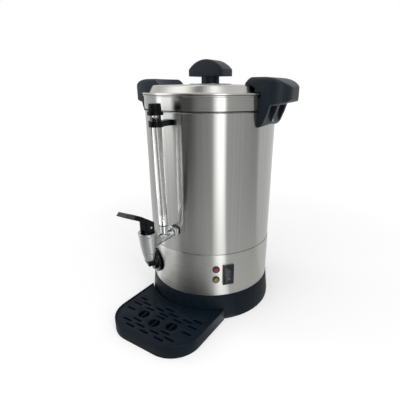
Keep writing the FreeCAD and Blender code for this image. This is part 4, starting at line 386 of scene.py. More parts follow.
@dataclass(frozen=True)
class GaugeTube(Clear):
    """The clear tube, whose bore is coloured grey above one height."""

    # the grey that the bore is coloured above one height
    haze: Colour = (0.5, 0.505, 0.49)
    reach: float = 136.5 * MM
    height: float = 164.5 * MM
    lean: float = 1.5
    bore: tuple[float, float] = (5.4 * MM, 6.6 * MM)
    bore_grey_from: float = 200 * MM

    def material(self) -> bpy.types.Material:
        """Build the material."""
        shader = Shader(self.name)
        shader.constant(metallic=0.0, ior=1.49, transmission_weight=self.passes)
        cloud = shader.noise((40.0, 40.0, 25.0), detail=3.0)
        shader.roughness(shader.ramp(cloud, self.rough, self.rough + 0.03))
        foot = Vector((0.0, -self.reach, self.height))
        lean = math.radians(self.lean)
        axis = Vector((0.0, -math.sin(lean), math.cos(lean)))
        inside = shader.ramp(shader.off_axis(foot, axis), 1.0, 0.0, *self.bore)
        above = shader.ramp(shader.axis("Z"), 0.0, 1.0, self.bore_grey_from, self.bore_grey_from + 2 * MM)
        mottle = shader.ramp(cloud, 0.8, 1.0)
        # the bore is coloured grey above one height, with a little mottle
        share = shader.math("MULTIPLY", shader.math("MULTIPLY", inside, above), mottle)
        shader.colour(shader.blend(share, self.tint, self.haze))
        return shader.material


@dataclass(frozen=True)
class GlintPatchFace(Moulded):
    """Glossy moulded plastic with a painted highlight: a pale bluish patch round one place on the wall, where
    the rocker face shows a strip reflection.
    """

    # the colour of the painted highlight on the rocker
    pale: Colour = (0.045, 0.054, 0.066)
    azimuth: float = SWITCH_AZIMUTH
    height: float = SWITCH_HEIGHT
    half_width: float = 5 * MM
    half_height: float = 11 * MM

    def material(self) -> bpy.types.Material:
        """Build the material with its painted highlight."""
        shader = self.shader()
        angle = math.radians(self.azimuth)
        sideways = shader.node("VectorMath", {"operation": "DOT_PRODUCT"}, i0=shader.coordinates,
                               i1=(math.cos(angle), math.sin(angle), 0.0)).outputs["Value"]
        wander = shader.ramp(shader.noise((260.0, 260.0, 260.0), detail=4.0, seed=5.0), -0.002, 0.002)
        across = shader.math("ABSOLUTE", shader.math("ADD", sideways, wander))
        upward = shader.math("ABSOLUTE", shader.math("SUBTRACT", shader.axis("Z"), self.height))
        wide = shader.ramp(across, 1.0, 0.0, self.half_width * 0.3, self.half_width, "SMOOTHSTEP")
        high = shader.ramp(upward, 1.0, 0.0, self.half_height * 0.6, self.half_height, "SMOOTHSTEP")
        share = shader.math("MULTIPLY", wide, high)
        # painted highlight: a pale patch laid over the rocker where its face reflects the strip light
        shader.cover(share, self.pale)
        return shader.material


class Finishes:
    """Every finish of the urn, made once and found by the record's slot."""

    CHOICES = [
        Steel("shell_steel", (0.50, 0.505, 0.485), 0.24, Grain.UPRIGHT, 0.12, 1.0, seam=7.7 * MM),
        Steel("band_steel", (0.55, 0.55, 0.525), 0.29, Grain.AROUND, 0.07, 1.0),
        Steel("lid_steel", (0.66, 0.65, 0.62), 0.24, Grain.TURNED, 0.06, 0.6),
        Steel("tank_steel", (0.50, 0.50, 0.48), 0.2, Grain.AROUND, 0.1, 0.85),
        Steel("washer_steel", (0.30, 0.31, 0.31), 0.3, Grain.TURNED, 0.1, 0.5),
        Steel("cover_steel", (0.42, 0.42, 0.42), 0.38, Grain.NONE),
        Steel("screw_steel", (0.55, 0.55, 0.54), 0.3, Grain.NONE),
        Steel("pin_steel", (0.85, 0.85, 0.85), 0.3, Grain.NONE),
        Steel("spring_steel", (0.5, 0.5, 0.5), 0.3, Grain.NONE),
        Steel("element_steel", (0.22, 0.19, 0.17), 0.45, Grain.NONE),
        Steel("aluminium", (0.62, 0.63, 0.64), 0.42, Grain.NONE),
        Plated("chrome", (0.66, 0.67, 0.67), 0.06),
        Plated("satin_chrome", (0.50, 0.515, 0.515), 0.28, 0.06),
        Plated("brass", (0.68, 0.52, 0.24), 0.28),
        Plated("copper", (0.72, 0.40, 0.26), 0.3),
        Moulded("base_plastic", (0.0025, 0.0062, 0.0112), 0.5, gloss=0.14),
        Moulded("handle_plastic", (0.0065, 0.0115, 0.0175), 0.42, gloss=0.25),
        Moulded("fitting_plastic", (0.0012, 0.0017, 0.0026), 0.28, gloss=0.12),
        # lever_plastic: its paler arm end is a painted reflection
        PaintedSheenPaddle("lever_plastic", (0.002, 0.0025, 0.0032), 0.3, 0.0009, gloss=0.12),
        Moulded("dial_plastic", (0.003, 0.0045, 0.006), 0.3, gloss=0.16),
        # switch_plastic: its pale patch round the rocker is a painted highlight
        GlintPatchFace("switch_plastic", (0.004, 0.006, 0.009), 0.16, 0.0012, 0.00001, 0.4),
        Moulded("gland_plastic", (0.008, 0.008, 0.009), 0.5, gloss=0.2),
        Moulded("housing_plastic", (0.16, 0.155, 0.15), 0.5),
        Moulded("seal_plastic", (0.62, 0.60, 0.54), 0.5),
        Moulded("wire_cover", (0.10, 0.07, 0.05), 0.5),
        Moulded("rubber", (0.010, 0.010, 0.010), 0.7, gloss=0.2),
        GaugeTube("clear_tube", (0.96, 0.975, 0.97), 0.01),
        Clear("red_lens", (0.36, 0.018, 0.045), 0.1, 0.0016, 0.3, "red_lens"),
        Clear("amber_lens", (0.37, 0.25, 0.06), 0.1, 0.0016, 0.3, "amber_lens"),
    ]

    def __init__(self) -> None:
        """Build every material."""
        self.by_slot = {choice.name: choice.material() for choice in self.CHOICES}
        self.slots = {part["node"]: part["material_slot"] for part in frame["record"]["subparts"]}

    def dress(self, piece: bpy.types.Object, slot: str) -> None:
        """Give a piece the finish of a slot, in place of what it has."""
        if not piece.material_slots:
            piece.data.materials.append(None)
        for holder in piece.material_slots:
            holder.link = "OBJECT" if "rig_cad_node" in piece else "DATA"
            holder.material = self.by_slot[slot]

    def dress_nodes(self) -> None:
        """Give every CAD node the finish of its slot."""
        for name, node in NODES.items():
            self.dress(node, self.slots[name])


@dataclass
class Corner:
    """A corner of an outline, in metres, with the radius that rounds it."""

    across: float
    up: float
    rounding: float = 0.0


def rounded_face(mesh: Mesh, corners: Sequence[Corner], upright: bool) -> bmesh.types.BMFace:
    """Draw one flat face whose corners are rounded.

    Args:
        mesh: Where the face is drawn.
        corners: Its corners in order.
        upright: True for a face in the XZ plane, False for one in the XY plane.

    Returns:
        The face.
    """
    spots = [Vector((c.across, 0, c.up)) if upright else Vector((c.across, c.up, 0)) for c in corners]
    verts = [mesh.verts.new(spot) for spot in spots]
    mesh.faces.new(verts)
    for index, corner in enumerate(corners):
        if corner.rounding <= 0:
            continue
        arriving = spots[index] - spots[index - 1]
        leaving = spots[(index + 1) % len(spots)] - spots[index]
        offset = corner.rounding * math.tan(arriving.angle(leaving) / 2)
        bmesh.ops.bevel(mesh, geom=[verts[index]], offset=offset, offset_type="OFFSET", segments=ARC_STEPS,
                        profile=0.5, affect="VERTICES", clamp_overlap=False, material=-1)
    mesh.faces.ensure_lookup_table()
    return mesh.faces[0]


def turned(corners: Sequence[Corner], steps: int = TURN_STEPS) -> Mesh:
    """Spin an outline of (radius, height) corners about the Z axis.

    Args:
        corners: The outline of the section.
        steps: How many steps the full turn has.

    Returns:
        The closed solid.
    """
    mesh = bmesh.new()
    face = rounded_face(mesh, corners, upright=True)
    bmesh.ops.delete(mesh, geom=[face], context="FACES_ONLY")
    bmesh.ops.spin(mesh, geom=[*mesh.verts, *mesh.edges], cent=(0, 0, 0), axis=(0, 0, 1), dvec=(0, 0, 0),
                   angle=FULL_TURN, steps=steps, use_merge=True, use_duplicate=False)
    bmesh.ops.remove_doubles(mesh, verts=mesh.verts, dist=1e-6)
    bmesh.ops.recalc_face_normals(mesh, faces=mesh.faces)
    return mesh


def ring(inner: float, low: float, outer: float, high: float, rounding: float) -> Mesh:
    """A turned ring with a rectangular section whose corners are rounded."""
    return turned([Corner(inner, low, rounding), Corner(outer, low, rounding),
                   Corner(outer, high, rounding), Corner(inner, high, rounding)])


def merged(node: str) -> Mesh:
    """A merged copy of a CAD node, in flat faces."""
    mesh = bmesh.new()
    mesh.from_mesh(NODES[node].data)
    bmesh.ops.remove_doubles(mesh, verts=mesh.verts, dist=2e-6)
    bmesh.ops.dissolve_limit(mesh, angle_limit=math.radians(0.4), verts=mesh.verts, edges=mesh.edges)
    return mesh


def eased(mesh: Mesh, width: float, segments: int = 2) -> Mesh:
    """Round the sharp edges of a mesh.

    Args:
        mesh: The mesh, which is changed.
        width: The width of the rounding, in metres.
        segments: How many faces the rounding has.

    Returns:
        The same mesh.
    """
    sharp = [e for e in mesh.edges if e.is_manifold and e.calc_face_angle(0.0) > math.radians(EASED_OVER)]
    bmesh.ops.bevel(mesh, geom=sharp, offset=width, offset_type="OFFSET", segments=segments, profile=0.5,
                    affect="EDGES", clamp_overlap=True, material=-1)
    return mesh


def block(size: Sequence[float], centre: Sequence[float], rounding: float) -> Mesh:
    """A block with rounded edges."""
    mesh = bmesh.new()
    bmesh.ops.create_cube(mesh, size=1.0)
    bmesh.ops.scale(mesh, vec=size, verts=mesh.verts)
    bmesh.ops.translate(mesh, vec=centre, verts=mesh.verts)
    return eased(mesh, rounding)


def lettered(text: str, size: float, thickness: float) -> Mesh:
    """Thin digits, centred on the Z axis and read from above.

    Args:
        text: What they say.
        size: The size of the type, in metres.
        thickness: Their thickness, in metres.

    Returns:
        The mesh.
    """
    curve = bpy.data.curves.new("digits", "FONT")
    curve.body = text
    curve.size = size
    curve.extrude = thickness / 2
    curve.resolution_u = 3
    curve.align_x = "CENTER"
    curve.align_y = "CENTER"
    holder = bpy.data.objects.new("digits", curve)
    data = bpy.data.meshes.new_from_object(holder)
    mesh = bmesh.new()
    mesh.from_mesh(data)
    bpy.data.objects.remove(holder)
    bpy.data.curves.remove(curve)
    bpy.data.meshes.remove(data)
    bmesh.ops.remove_doubles(mesh, verts=mesh.verts, dist=1e-6)
    return mesh


def joined(parts: Sequence[Mesh]) -> Mesh:
    """One mesh out of several, which are used up."""
    whole = bmesh.new()
    for part in parts:
        data = bpy.data.meshes.new("part")
        part.to_mesh(data)
        part.free()
        whole.from_mesh(data)
        bpy.data.meshes.remove(data)
    return whole


def placed(mesh: Mesh, matrix: Matrix) -> Mesh:
    """Move a mesh by a matrix."""
    bmesh.ops.transform(mesh, matrix=matrix, verts=mesh.verts)
    return mesh


def outward(azimuth: float, reach: float, height: float) -> Matrix:
    """The place of a fitting whose own Z axis points out of the casing.

    Args:
        azimuth: Degrees from the tap's side towards +X.
        reach: Distance from the casing's axis.
        height: Height above the table.

    Returns:
        The matrix.
    """
    turn = Matrix.Rotation(math.radians(azimuth), 4, "Z")
    return turn @ Matrix.Translation((0, -reach, height)) @ Matrix.Rotation(math.radians(90), 4, "X")


class Workshop:
    """Makes finished pieces out of meshes."""

    def __init__(self, finishes: Finishes) -> None:
        """Start with the finishes."""
        self.finishes = finishes

    def piece(self, name: str, mesh: Mesh, body: str, slot: str,
              replaces: Sequence[str] = (), smooth: float = SMOOTH_UNDER) -> bpy.types.Object:
        """Finish a piece.

        Args:
            name: The piece's name.
            mesh: Its mesh, in place. It is used up.
            body: The body it rides on.
            slot: The record's material slot.
            replaces: The CAD nodes it stands for.
            smooth: Edges under this many degrees are shaded smooth.

        Returns:
            The piece.
        """
        data = bpy.data.meshes.new(name)
        mesh.to_mesh(data)
        mesh.free()
        data.shade_smooth()
        data.set_sharp_from_angle(angle=math.radians(smooth))
        made = bpy.data.objects.new(name, data)
        bpy.context.scene.collection.objects.link(made)
        self.finishes.dress(made, slot)
        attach(made, body)
        if replaces:
            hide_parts(*replaces)
        LOG.info("%s rides on %s, %d faces", name, body, len(data.polygons))
        return made

    def soften(self, node: str, body: str, width: float, name: str, segments: int = 2) -> bpy.types.Object:
        """Stand a softened copy in a CAD node's place, with the node's finish."""
        mesh = eased(merged(node), width, segments)
        return self.piece(name, mesh, body, self.finishes.slots[node], [node])


@dataclass
class Casing:
    """The steel casing, the band, the tank with its collar, and the plastic ring below."""

    sheet: float = 0.8 * MM
    groove: float = 1.1 * MM
    band_edge: float = 0.35 * MM
    band_flange: float = 9 * MM
    shell_top_edge: float = 0.7 * MM
    collar_gap: float = 3.2 * MM
    collar_ledge: float = 2.4 * MM
    seal_inset: float = 0.5 * MM
    bead: float = 1.4 * MM
    tank_floor: float = 9.9 * MM
    tank_inset: float = 12 * MM
    tank_corner: float = 7 * MM

    def build(self, shop: Workshop) -> None:
        """Build the casing's pieces."""
        shop.piece("casing_tube", self.tube(), "urn", "shell_steel", ["outer_shell"])
        shop.piece("band_tube", self.band(), "urn", "band_steel", ["base_band"])
        shop.piece("tank_pressing", self.tank(), "urn", "tank_steel", ["inner_tank"])
        shop.piece("collar_seal", self.seal(), "urn", "rubber")
        shop.soften("base_ring", "urn", 0.4 * MM, "base_flare")

    def tube(self) -> Mesh:
        """The casing's tube, drawn in a little above the band to leave a dark joint."""
        low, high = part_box("outer_shell")
        outer = high.x
        inner = outer - self.sheet
        return turned([
            Corner(inner, low.z),
            Corner(inner + 0.1 * MM, low.z),
            Corner(inner + 0.1 * MM, low.z + self.groove),
            Corner(outer, low.z + self.groove, 0.15 * MM),
            Corner(outer, high.z - self.shell_top_edge),
            Corner(outer - self.shell_top_edge, high.z),
            Corner(inner, high.z),
        ])

    def band(self) -> Mesh:
        """The band with its top edge and inward flange."""
        low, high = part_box("base_band")
        inner = high.x - self.sheet
        flange = inner - self.band_flange
        return turned([
            Corner(inner, low.z),
            Corner(high.x, low.z, 0.7 * MM),
            Corner(high.x, high.z, self.band_edge),
            Corner(flange, high.z),
            Corner(flange, high.z - self.sheet),
            Corner(inner, high.z - self.sheet),
        ])

    def seal(self) -> Mesh:
        """The dark seal in the groove between the casing and the collar."""
        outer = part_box("outer_shell")[1]
        return ring(outer.x - self.collar_gap + 0.1 * MM, outer.z + 0.9 * MM, outer.x - self.seal_inset,
                    outer.z + 0.7 * MM + self.collar_ledge, 0.3 * MM)

    def tank(self) -> Mesh:
        """The tank: floor, wall, ledge on the casing, collar and beaded rim."""
        shell_low, shell_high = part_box("outer_shell")
        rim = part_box("inner_tank")[1].z
        ledge = shell_high.z
        collar = shell_high.x + 0.3 * MM
        wall_in = shell_high.x - self.tank_inset
        wall_out = wall_in + self.sheet
        floor = shell_low.z + self.tank_floor
        return turned([
            Corner(0, floor - self.sheet),
            Corner(wall_out, floor - self.sheet, self.tank_corner + self.sheet),
            Corner(wall_out, ledge),
            Corner(collar - self.collar_gap, ledge),
            Corner(collar - self.collar_gap, ledge + self.collar_ledge),
            Corner(collar, ledge + self.collar_ledge, 0.2 * MM),
            Corner(collar, rim - 2 * self.bead),
            Corner(collar + self.bead, rim - 2 * self.bead, self.bead * 0.98),
            Corner(collar + self.bead, rim, self.bead * 0.98),
            Corner(collar - self.sheet, rim),
            Corner(collar - self.sheet, ledge + self.collar_ledge + self.sheet),
            Corner(wall_in, ledge + self.collar_ledge + self.sheet),
            Corner(wall_in, floor, self.tank_corner),
            Corner(0, floor),
        ])


@dataclass
class Lid:
    """The pressed lid, its washer and its knob."""

    wall: float = 0.8 * MM
    crown_flat: float = 42 * MM
    crown_fall: float = 1.3 * MM
    shoulder: float = 95.4 * MM
    shoulder_turn: float = 5 * MM
    skirt: float = 101.6 * MM
    flange_turn: float = 1.2 * MM
    flange: float = 112.2 * MM
    lip: float = 108.6 * MM
    lip_depth: float = 8 * MM
    flange_drop: float = 12.3 * MM
    edge_drop: float = 2.4 * MM
    screw_hole: float = 2.6 * MM

    def build(self, shop: Workshop) -> None:
        """Build the lid's pieces."""
        shop.piece("lid_pressing", self.pressing(), "lid", "lid_steel", ["lid"], smooth=24.0)
        low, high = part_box("knob_washer")
        washer = ring(self.screw_hole, low.z, high.x, high.z, 0.35 * MM)
        shop.piece("knob_plate", washer, "lid", "washer_steel", ["knob_washer"])
        shop.soften("lid_knob", "lid", 0.9 * MM, "knob_moulding", segments=3)

    def pressing(self) -> Mesh:
        """The lid: crown, shoulder, skirt, rolled flange and the lip inside the collar."""
        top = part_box("lid")[1].z
        flange_top = top - self.flange_drop
        edge_low = flange_top - self.edge_drop
        fall = self.crown_fall
        wall = self.wall
        return turned([
            Corner(0, top - wall),
            Corner(self.crown_flat, top - wall),
            Corner(self.shoulder - wall / 2, top - fall - wall, self.shoulder_turn - wall),
            Corner(self.skirt - wall, flange_top - wall),
            Corner(self.lip - wall, flange_top - wall),
            Corner(self.lip - wall, edge_low - self.lip_depth),
            Corner(self.lip, edge_low - self.lip_depth),
            Corner(self.lip, flange_top - wall),
            Corner(self.flange - wall, flange_top - wall),
            Corner(self.flange - wall, edge_low, 0.1 * MM),
            Corner(self.flange, edge_low, 0.3 * MM),
            Corner(self.flange, flange_top, wall),
            Corner(self.skirt, flange_top, self.flange_turn),
            Corner(self.shoulder, top - fall, self.shoulder_turn),
            Corner(self.crown_flat, top),
            Corner(0, top),
        ])


@dataclass
class Handles:
    """The two moulded side handles."""

    edge: float = 1.0 * MM

    def build(self, shop: Workshop) -> None:
        """Build both handles."""
        for side in ("right", "left"):
            shop.soften(f"handle_{side}", "urn", self.edge, f"grip_{side}", segments=3)


@dataclass
class Tap:
    """The tap with its shank, lever and return spring."""

    lift: float = 2.75 * MM

    def spring(self, shop: Workshop) -> None:
        """Build the return spring, which rides on the stem in a mesh of its own."""
        slot = shop.finishes.slots["tap_spring"]
        made = shop.piece("return_spring", merged("tap_spring"), "stem", slot, ["tap_spring"])
        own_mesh(made)

    def build(self, shop: Workshop) -> None:
        """Build the tap's pieces."""
        self.spring(shop)
        shop.soften("tap_body", "urn", 0.25 * MM, "tap_casting")
        shop.soften("tap_lever", "lever", 0.6 * MM, "lever_moulding")
        shop.soften("shank_nut", "urn", 0.5 * MM, "clamp_nut")
        shop.soften("tap_shank", "urn", 0.4 * MM, "shank_tee")


@dataclass
class Gauge:
    """The sight tube with its cap and clip."""

    def build(self, shop: Workshop) -> None:
        """Build the gauge's pieces."""
        shop.soften("sight_tube", "urn", 0.2 * MM, "gauge_tube")
        shop.soften("gauge_cap", "gauge_cap", 0.3 * MM, "gauge_cap_moulding")
        shop.soften("gauge_clip", "urn", 0.4 * MM, "gauge_clip_moulding")


@dataclass
class Controls:
    """The dial, the switch and the two lamps on the band.

    The dial's settings are angles in degrees round it from its pointer, against the clock, as its joint
    turns it with the clock.
    """

    print_thickness: float = 0.12 * MM
    print_slot: str = "seal_plastic"
    faint_slot: str = "housing_plastic"
    band_radius: float = 110.8 * MM
    dial_azimuth: float = -30.0
    dial_height: float = 88 * MM
    dial_face: float = 114.3 * MM
    grip_face: float = 132 * MM
    settings: tuple[tuple[str, float], ...] = (
        ("0", 0.0), ("30", 54.0), ("50", 108.0), ("70", 162.0), ("90", 216.0), ("110", 270.0),
    )
    digit_size: float = 3.9 * MM
    digit_ring: float = 18.9 * MM
    tick_ring: float = 21.6 * MM
    tick_count: int = 25
    sweep: float = 270.0
    long_every: int = 4
    long_tick: tuple[float, float] = (0.45 * MM, 1.1 * MM)
    short_tick: tuple[float, float] = (0.3 * MM, 0.8 * MM)
    index_turn: float = 13.6
    rocker_face: float = 113 * MM
    mark_up: float = 9 * MM
    raised_slope: float = 16.8
    lamp_azimuth: float = 37.3
    lamp_heights: tuple[tuple[str, float], ...] = (("red_lens", 99.8 * MM), ("amber_lens", 80.3 * MM))
    lens_seat: float = 111.2 * MM
    lens_foot: float = 5.2 * MM
    lens_rim: float = 1.13 * MM
    lens_radius: float = 5.95 * MM
    lens_top: float = 2.8 * MM
    lens_dome: float = 1.6 * MM

    def build(self, shop: Workshop) -> None:
        """Build the controls."""
        shop.soften("thermostat_dial", "dial", 0.5 * MM, "dial_moulding")
        shop.piece("dial_digits", self.digits(), "dial", self.print_slot)
        shop.piece("dial_pointer", self.pointer(), "dial", self.print_slot)
        shop.piece("dial_index", self.index_mark(), "urn", "base_plastic")
        shop.soften("switch_body", "urn", 0.5 * MM, "switch_bezel")
        shop.soften("switch_rocker", "rocker", 0.5 * MM, "rocker_moulding")
        shop.piece("rocker_marks", self.rocker_marks(), "rocker", self.faint_slot)
        shop.soften("lamp_bodies", "urn", 0.3 * MM, "lamp_bezels")
        for node, height in self.lamp_heights:
            place = outward(self.lamp_azimuth, self.lens_seat, height)
            shop.piece(node + "_dome", placed(self.lens(), place), "urn", node, [node], smooth=60.0)

    def lens(self) -> Mesh:
        """A lamp's lens: a low dome that covers its bezel, on a foot inside it."""
        return turned([
            Corner(0, 0),
            Corner(self.lens_foot, 0),
            Corner(self.lens_foot, self.lens_rim),
            Corner(self.lens_radius, self.lens_rim),
            Corner(self.lens_radius, self.lens_top, self.lens_dome),
            Corner(0, self.lens_top),
        ], steps=48)

    def on_dial(self, angle: float, reach: float) -> Matrix:
        """A place on the dial, turned against the clock from its pointer, which lies to the left."""
        turn = Matrix.Rotation(math.radians(90 + angle), 4, "Z")
        return outward(self.dial_azimuth, reach, self.dial_height) @ turn

    def digits(self) -> Mesh:
        """The settings printed on the dial's skirt, with ticks outside them."""
        parts = []
        for text, angle in self.settings:
            spot = Matrix.Translation((0, self.digit_ring, self.print_thickness / 2))
            parts.append(placed(lettered(text, self.digit_size, self.print_thickness),
                                self.on_dial(angle, self.dial_face) @ spot))
        for step in range(self.tick_count):
            size = self.short_tick if step % self.long_every else self.long_tick
            middle = (0, self.tick_ring, self.print_thickness / 2)
            tick = block((*size, self.print_thickness), middle, 0.02 * MM)
            angle = self.sweep * step / (self.tick_count - 1)
            parts.append(placed(tick, self.on_dial(angle, self.dial_face)))
        return joined(parts)

    def pointer(self) -> Mesh:
        """The line along the dial's grip that points at a setting."""
        line = block((1.1 * MM, 7.5 * MM, 0.3 * MM), (0, 7.6 * MM, 0), 0.1 * MM)
        return placed(line, self.on_dial(0.0, self.grip_face - 0.1 * MM))

    def index_mark(self) -> Mesh:
        """The mark on the band that a setting is turned to."""
        mark = block((3.4 * MM, 1.1 * MM, self.print_thickness), (0, 0, 0), 0.03 * MM)
        return placed(mark, outward(self.dial_azimuth - self.index_turn, self.band_radius, self.dial_height))

    def rocker_marks(self) -> Mesh:
        """The bar for on and the ring for off, each on its half of the rocker."""
        middle = outward(SWITCH_AZIMUTH, self.rocker_face, SWITCH_HEIGHT)
        bar = block((0.45 * MM, 2.8 * MM, self.print_thickness), (0, self.mark_up, 0), 0.03 * MM)
        circle = ring(1.2 * MM, -self.print_thickness / 2, 1.6 * MM, self.print_thickness / 2, 0.02 * MM)
        slope = Matrix.Rotation(math.radians(-self.raised_slope), 4, "X")
        drop = Matrix.Translation((0, -self.mark_up * 0.8, 0))
        return joined([placed(bar, middle), placed(circle, middle @ slope @ drop)])


@dataclass
class Tray:
    """The drip tray and its grille, whose rows of slots are counted out from the urn."""

    rows: tuple[tuple[int, tuple[float, ...]], ...] = (
        (0, (-2, 0, 2)), (1, (-1.5, -0.5, 0.5, 1.5)), (2, (-2, -1, 0, 1, 2)), (3, (0,)), (4, (-2, 2)),
        (6, (-1, 1)), (7, (-1.5, -0.5, 0.5, 1.5)), (8, (-1, 0, 1)),
    )
    drains: tuple[tuple[float, int], ...] = ((-1, 4), (0, 5), (1, 4))
    first_row: float = 133.8 * MM
    row_pitch: float = 8.25 * MM
    column_pitch: float = 30 * MM
    slot_half: tuple[float, float] = (9 * MM, 1.4 * MM)
    slot_growth: tuple[float, float] = (1.05, 1.4)
    drain_radius: float = 8.2 * MM
    drain_mouth: float = 9.9 * MM
    drain_bar: float = 1.2 * MM
    bar_share: float = 0.6
    near: float = 0.03 * MM

    def build(self, shop: Workshop) -> None:
        """Build the tray's pieces."""
        shop.soften("drip_tray", "tray", 0.4 * MM, "tray_moulding")
        grille = eased(self.opened(merged("drip_grille")), 0.25 * MM)
        shop.piece("grille_moulding", grille, "grille", shop.finishes.slots["drip_grille"], ["drip_grille"])

    def opened(self, mesh: Mesh) -> Mesh:
        """Open the grille's slots and round drains to their moulded width."""
        for row, columns in self.rows:
            for column in columns:
                self.open_slot(mesh, self.spot(column, row))
        for column, row in self.drains:
            self.open_drain(mesh, self.spot(column, row))
        return mesh

    def spot(self, column: float, row: float) -> Vector:
        """The middle of a slot or drain, seen from above."""
        return Vector((column * self.column_pitch, -(self.first_row + row * self.row_pitch)))

    def open_slot(self, mesh: Mesh, middle: Vector) -> None:
        """Widen one slot."""
        for vert in mesh.verts:
            away = vert.co.xy - middle
            if abs(away.x) < self.slot_half[0] + self.near and abs(away.y) < self.slot_half[1] + self.near:
                vert.co.x = middle.x + away.x * self.slot_growth[0]
                vert.co.y = middle.y + away.y * self.slot_growth[1]

    def open_drain(self, mesh: Mesh, middle: Vector) -> None:
        """Widen one drain and make its bar slimmer."""
        for vert in mesh.verts:
            away = vert.co.xy - middle
            if abs(away.length - self.drain_radius) > self.near:
                continue
            if abs(away.x) < self.drain_bar + self.near:
                slim = away.x * self.bar_share
                vert.co.x = middle.x + slim
                vert.co.y = middle.y + math.copysign(math.sqrt(self.drain_mouth ** 2 - slim ** 2), away.y)
            else:
                vert.co.xy = middle + away * (self.drain_mouth / self.drain_radius)


@dataclass
class Surround:
    """What polished metal sees of the studio: grey walls, two strip lights and a dark flag before the tap.

    Above them hang two broad soft boxes. Each stop is the edge of one of these: an azimuth in degrees from
    the tap's side towards +X, and the level there.
    """

    stops: Stops = (
        (-180, 0.8), (-70, 0.6), (-66, 2.2), (-57, 2.2), (-53, 0.6), (-25, 0.5), (-17, 0.1), (0, 0.1),
        (12, 0.3), (35, 0.4), (46, 2.6), (55, 2.6), (59, 0.6), (120, 0.4), (125, 0.75), (180, 0.8),
    )
    high_stops: Stops = (
        (-180, 0.8), (-80, 0.8), (-60, 1.5), (-35, 1.5), (-12, 0.2), (5, 0.2), (35, 1.5), (55, 1.5), (75, 0.7),
        (180, 0.8),
    )
    high: tuple[float, float, float, float] = (0.45, 0.6, 0.9, 0.97)
    peak: float = 3.0
    window: tuple[float, float, float, float] = (-68.0, -65.0, -36.0, -30.0)
    window_level: float = 1.9
    window_from: float = 1.8
    window_to: float = 2.8
    near: float = 0.25
    far: float = 1.0
    near_base: float = 0.45
    near_share: float = 0.4

    def level(self, graph: Graph, place: Socket, stops: Stops) -> Socket:
        """The level that a card has in the direction of a place.

        Args:
            graph: Where the nodes are added.
            place: A direction or a point about the urn's axis.
            stops: The azimuths in degrees, and the level at each.

        Returns:
            The level, where 1 is white.
        """
        ramp = graph.node("ValToRGB", Fac=graph.ramp(self.angle(graph, place), 0.0, 1.0, -math.pi, math.pi))
        elements = ramp.color_ramp.elements
        while len(elements) > 1:
            elements.remove(elements[-1])
        for index, (azimuth, level) in enumerate(stops):
            spot = (azimuth + 180) / 360
            element = elements[0] if index == 0 else elements.new(spot)
            element.position = spot
            element.color = (*grey(level / self.peak), 1.0)
        return graph.math("MULTIPLY", ramp.outputs["Color"], self.peak)

    def angle(self, graph: Graph, place: Socket) -> Socket:
        """The azimuth of a place, in radians."""
        parts = graph.node("SeparateXYZ", Vector=place).outputs
        return graph.math("ARCTAN2", parts["X"], graph.math("MULTIPLY", parts["Y"], -1.0))

    def window_glow(self, graph: Graph, place: Socket) -> Socket:
        """The level of the window on the left, in the direction of a place."""
        azimuth = self.angle(graph, place)
        edges = [math.radians(edge) for edge in self.window]
        rising = graph.ramp(azimuth, 0.0, 1.0, edges[0], edges[1], "SMOOTHSTEP")
        falling = graph.ramp(azimuth, 1.0, 0.0, edges[2], edges[3], "SMOOTHSTEP")
        return graph.math("MULTIPLY", graph.math("MULTIPLY", rising, falling), self.window_level)

    def sky_level(self, graph: Graph, direction: Socket) -> Socket:
        """The level of the cards and of the window, in a direction."""
        upright = graph.math("MAXIMUM", self.level(graph, direction, self.stops),
                             self.window_glow(graph, direction))
        rise = graph.node("SeparateXYZ", Vector=direction).outputs["Z"]
        low_from, low_to, high_from, high_to = self.high
        share = graph.math("MULTIPLY", graph.ramp(rise, 0.0, 1.0, low_from, low_to, "SMOOTHSTEP"),
                           graph.ramp(rise, 1.0, 0.0, high_from, high_to, "SMOOTHSTEP"))
        above = self.level(graph, direction, self.high_stops)
        return graph.node("Mix", i0=share, i2=upright, i3=above).outputs[0]

    def floor_level(self, graph: Graph, place: Socket) -> Socket:
        """The level on the floor, which the cards shade less the nearer it is to the urn."""
        distance = graph.length(place)
        share = graph.ramp(distance, 0.0, 1.0, self.near, self.far, "SMOOTHSTEP")
        level = self.level(graph, place, self.stops)
        near = graph.math("ADD", graph.math("MULTIPLY", level, self.near_share), self.near_base)
        card = graph.node("Mix", i0=share, i2=near, i3=level).outputs[0]
        beyond = graph.ramp(distance, 0.0, 1.0, self.window_from, self.window_to, "SMOOTHSTEP")
        return graph.math("MAXIMUM", card, graph.math("MULTIPLY", self.window_glow(graph, place), beyond))


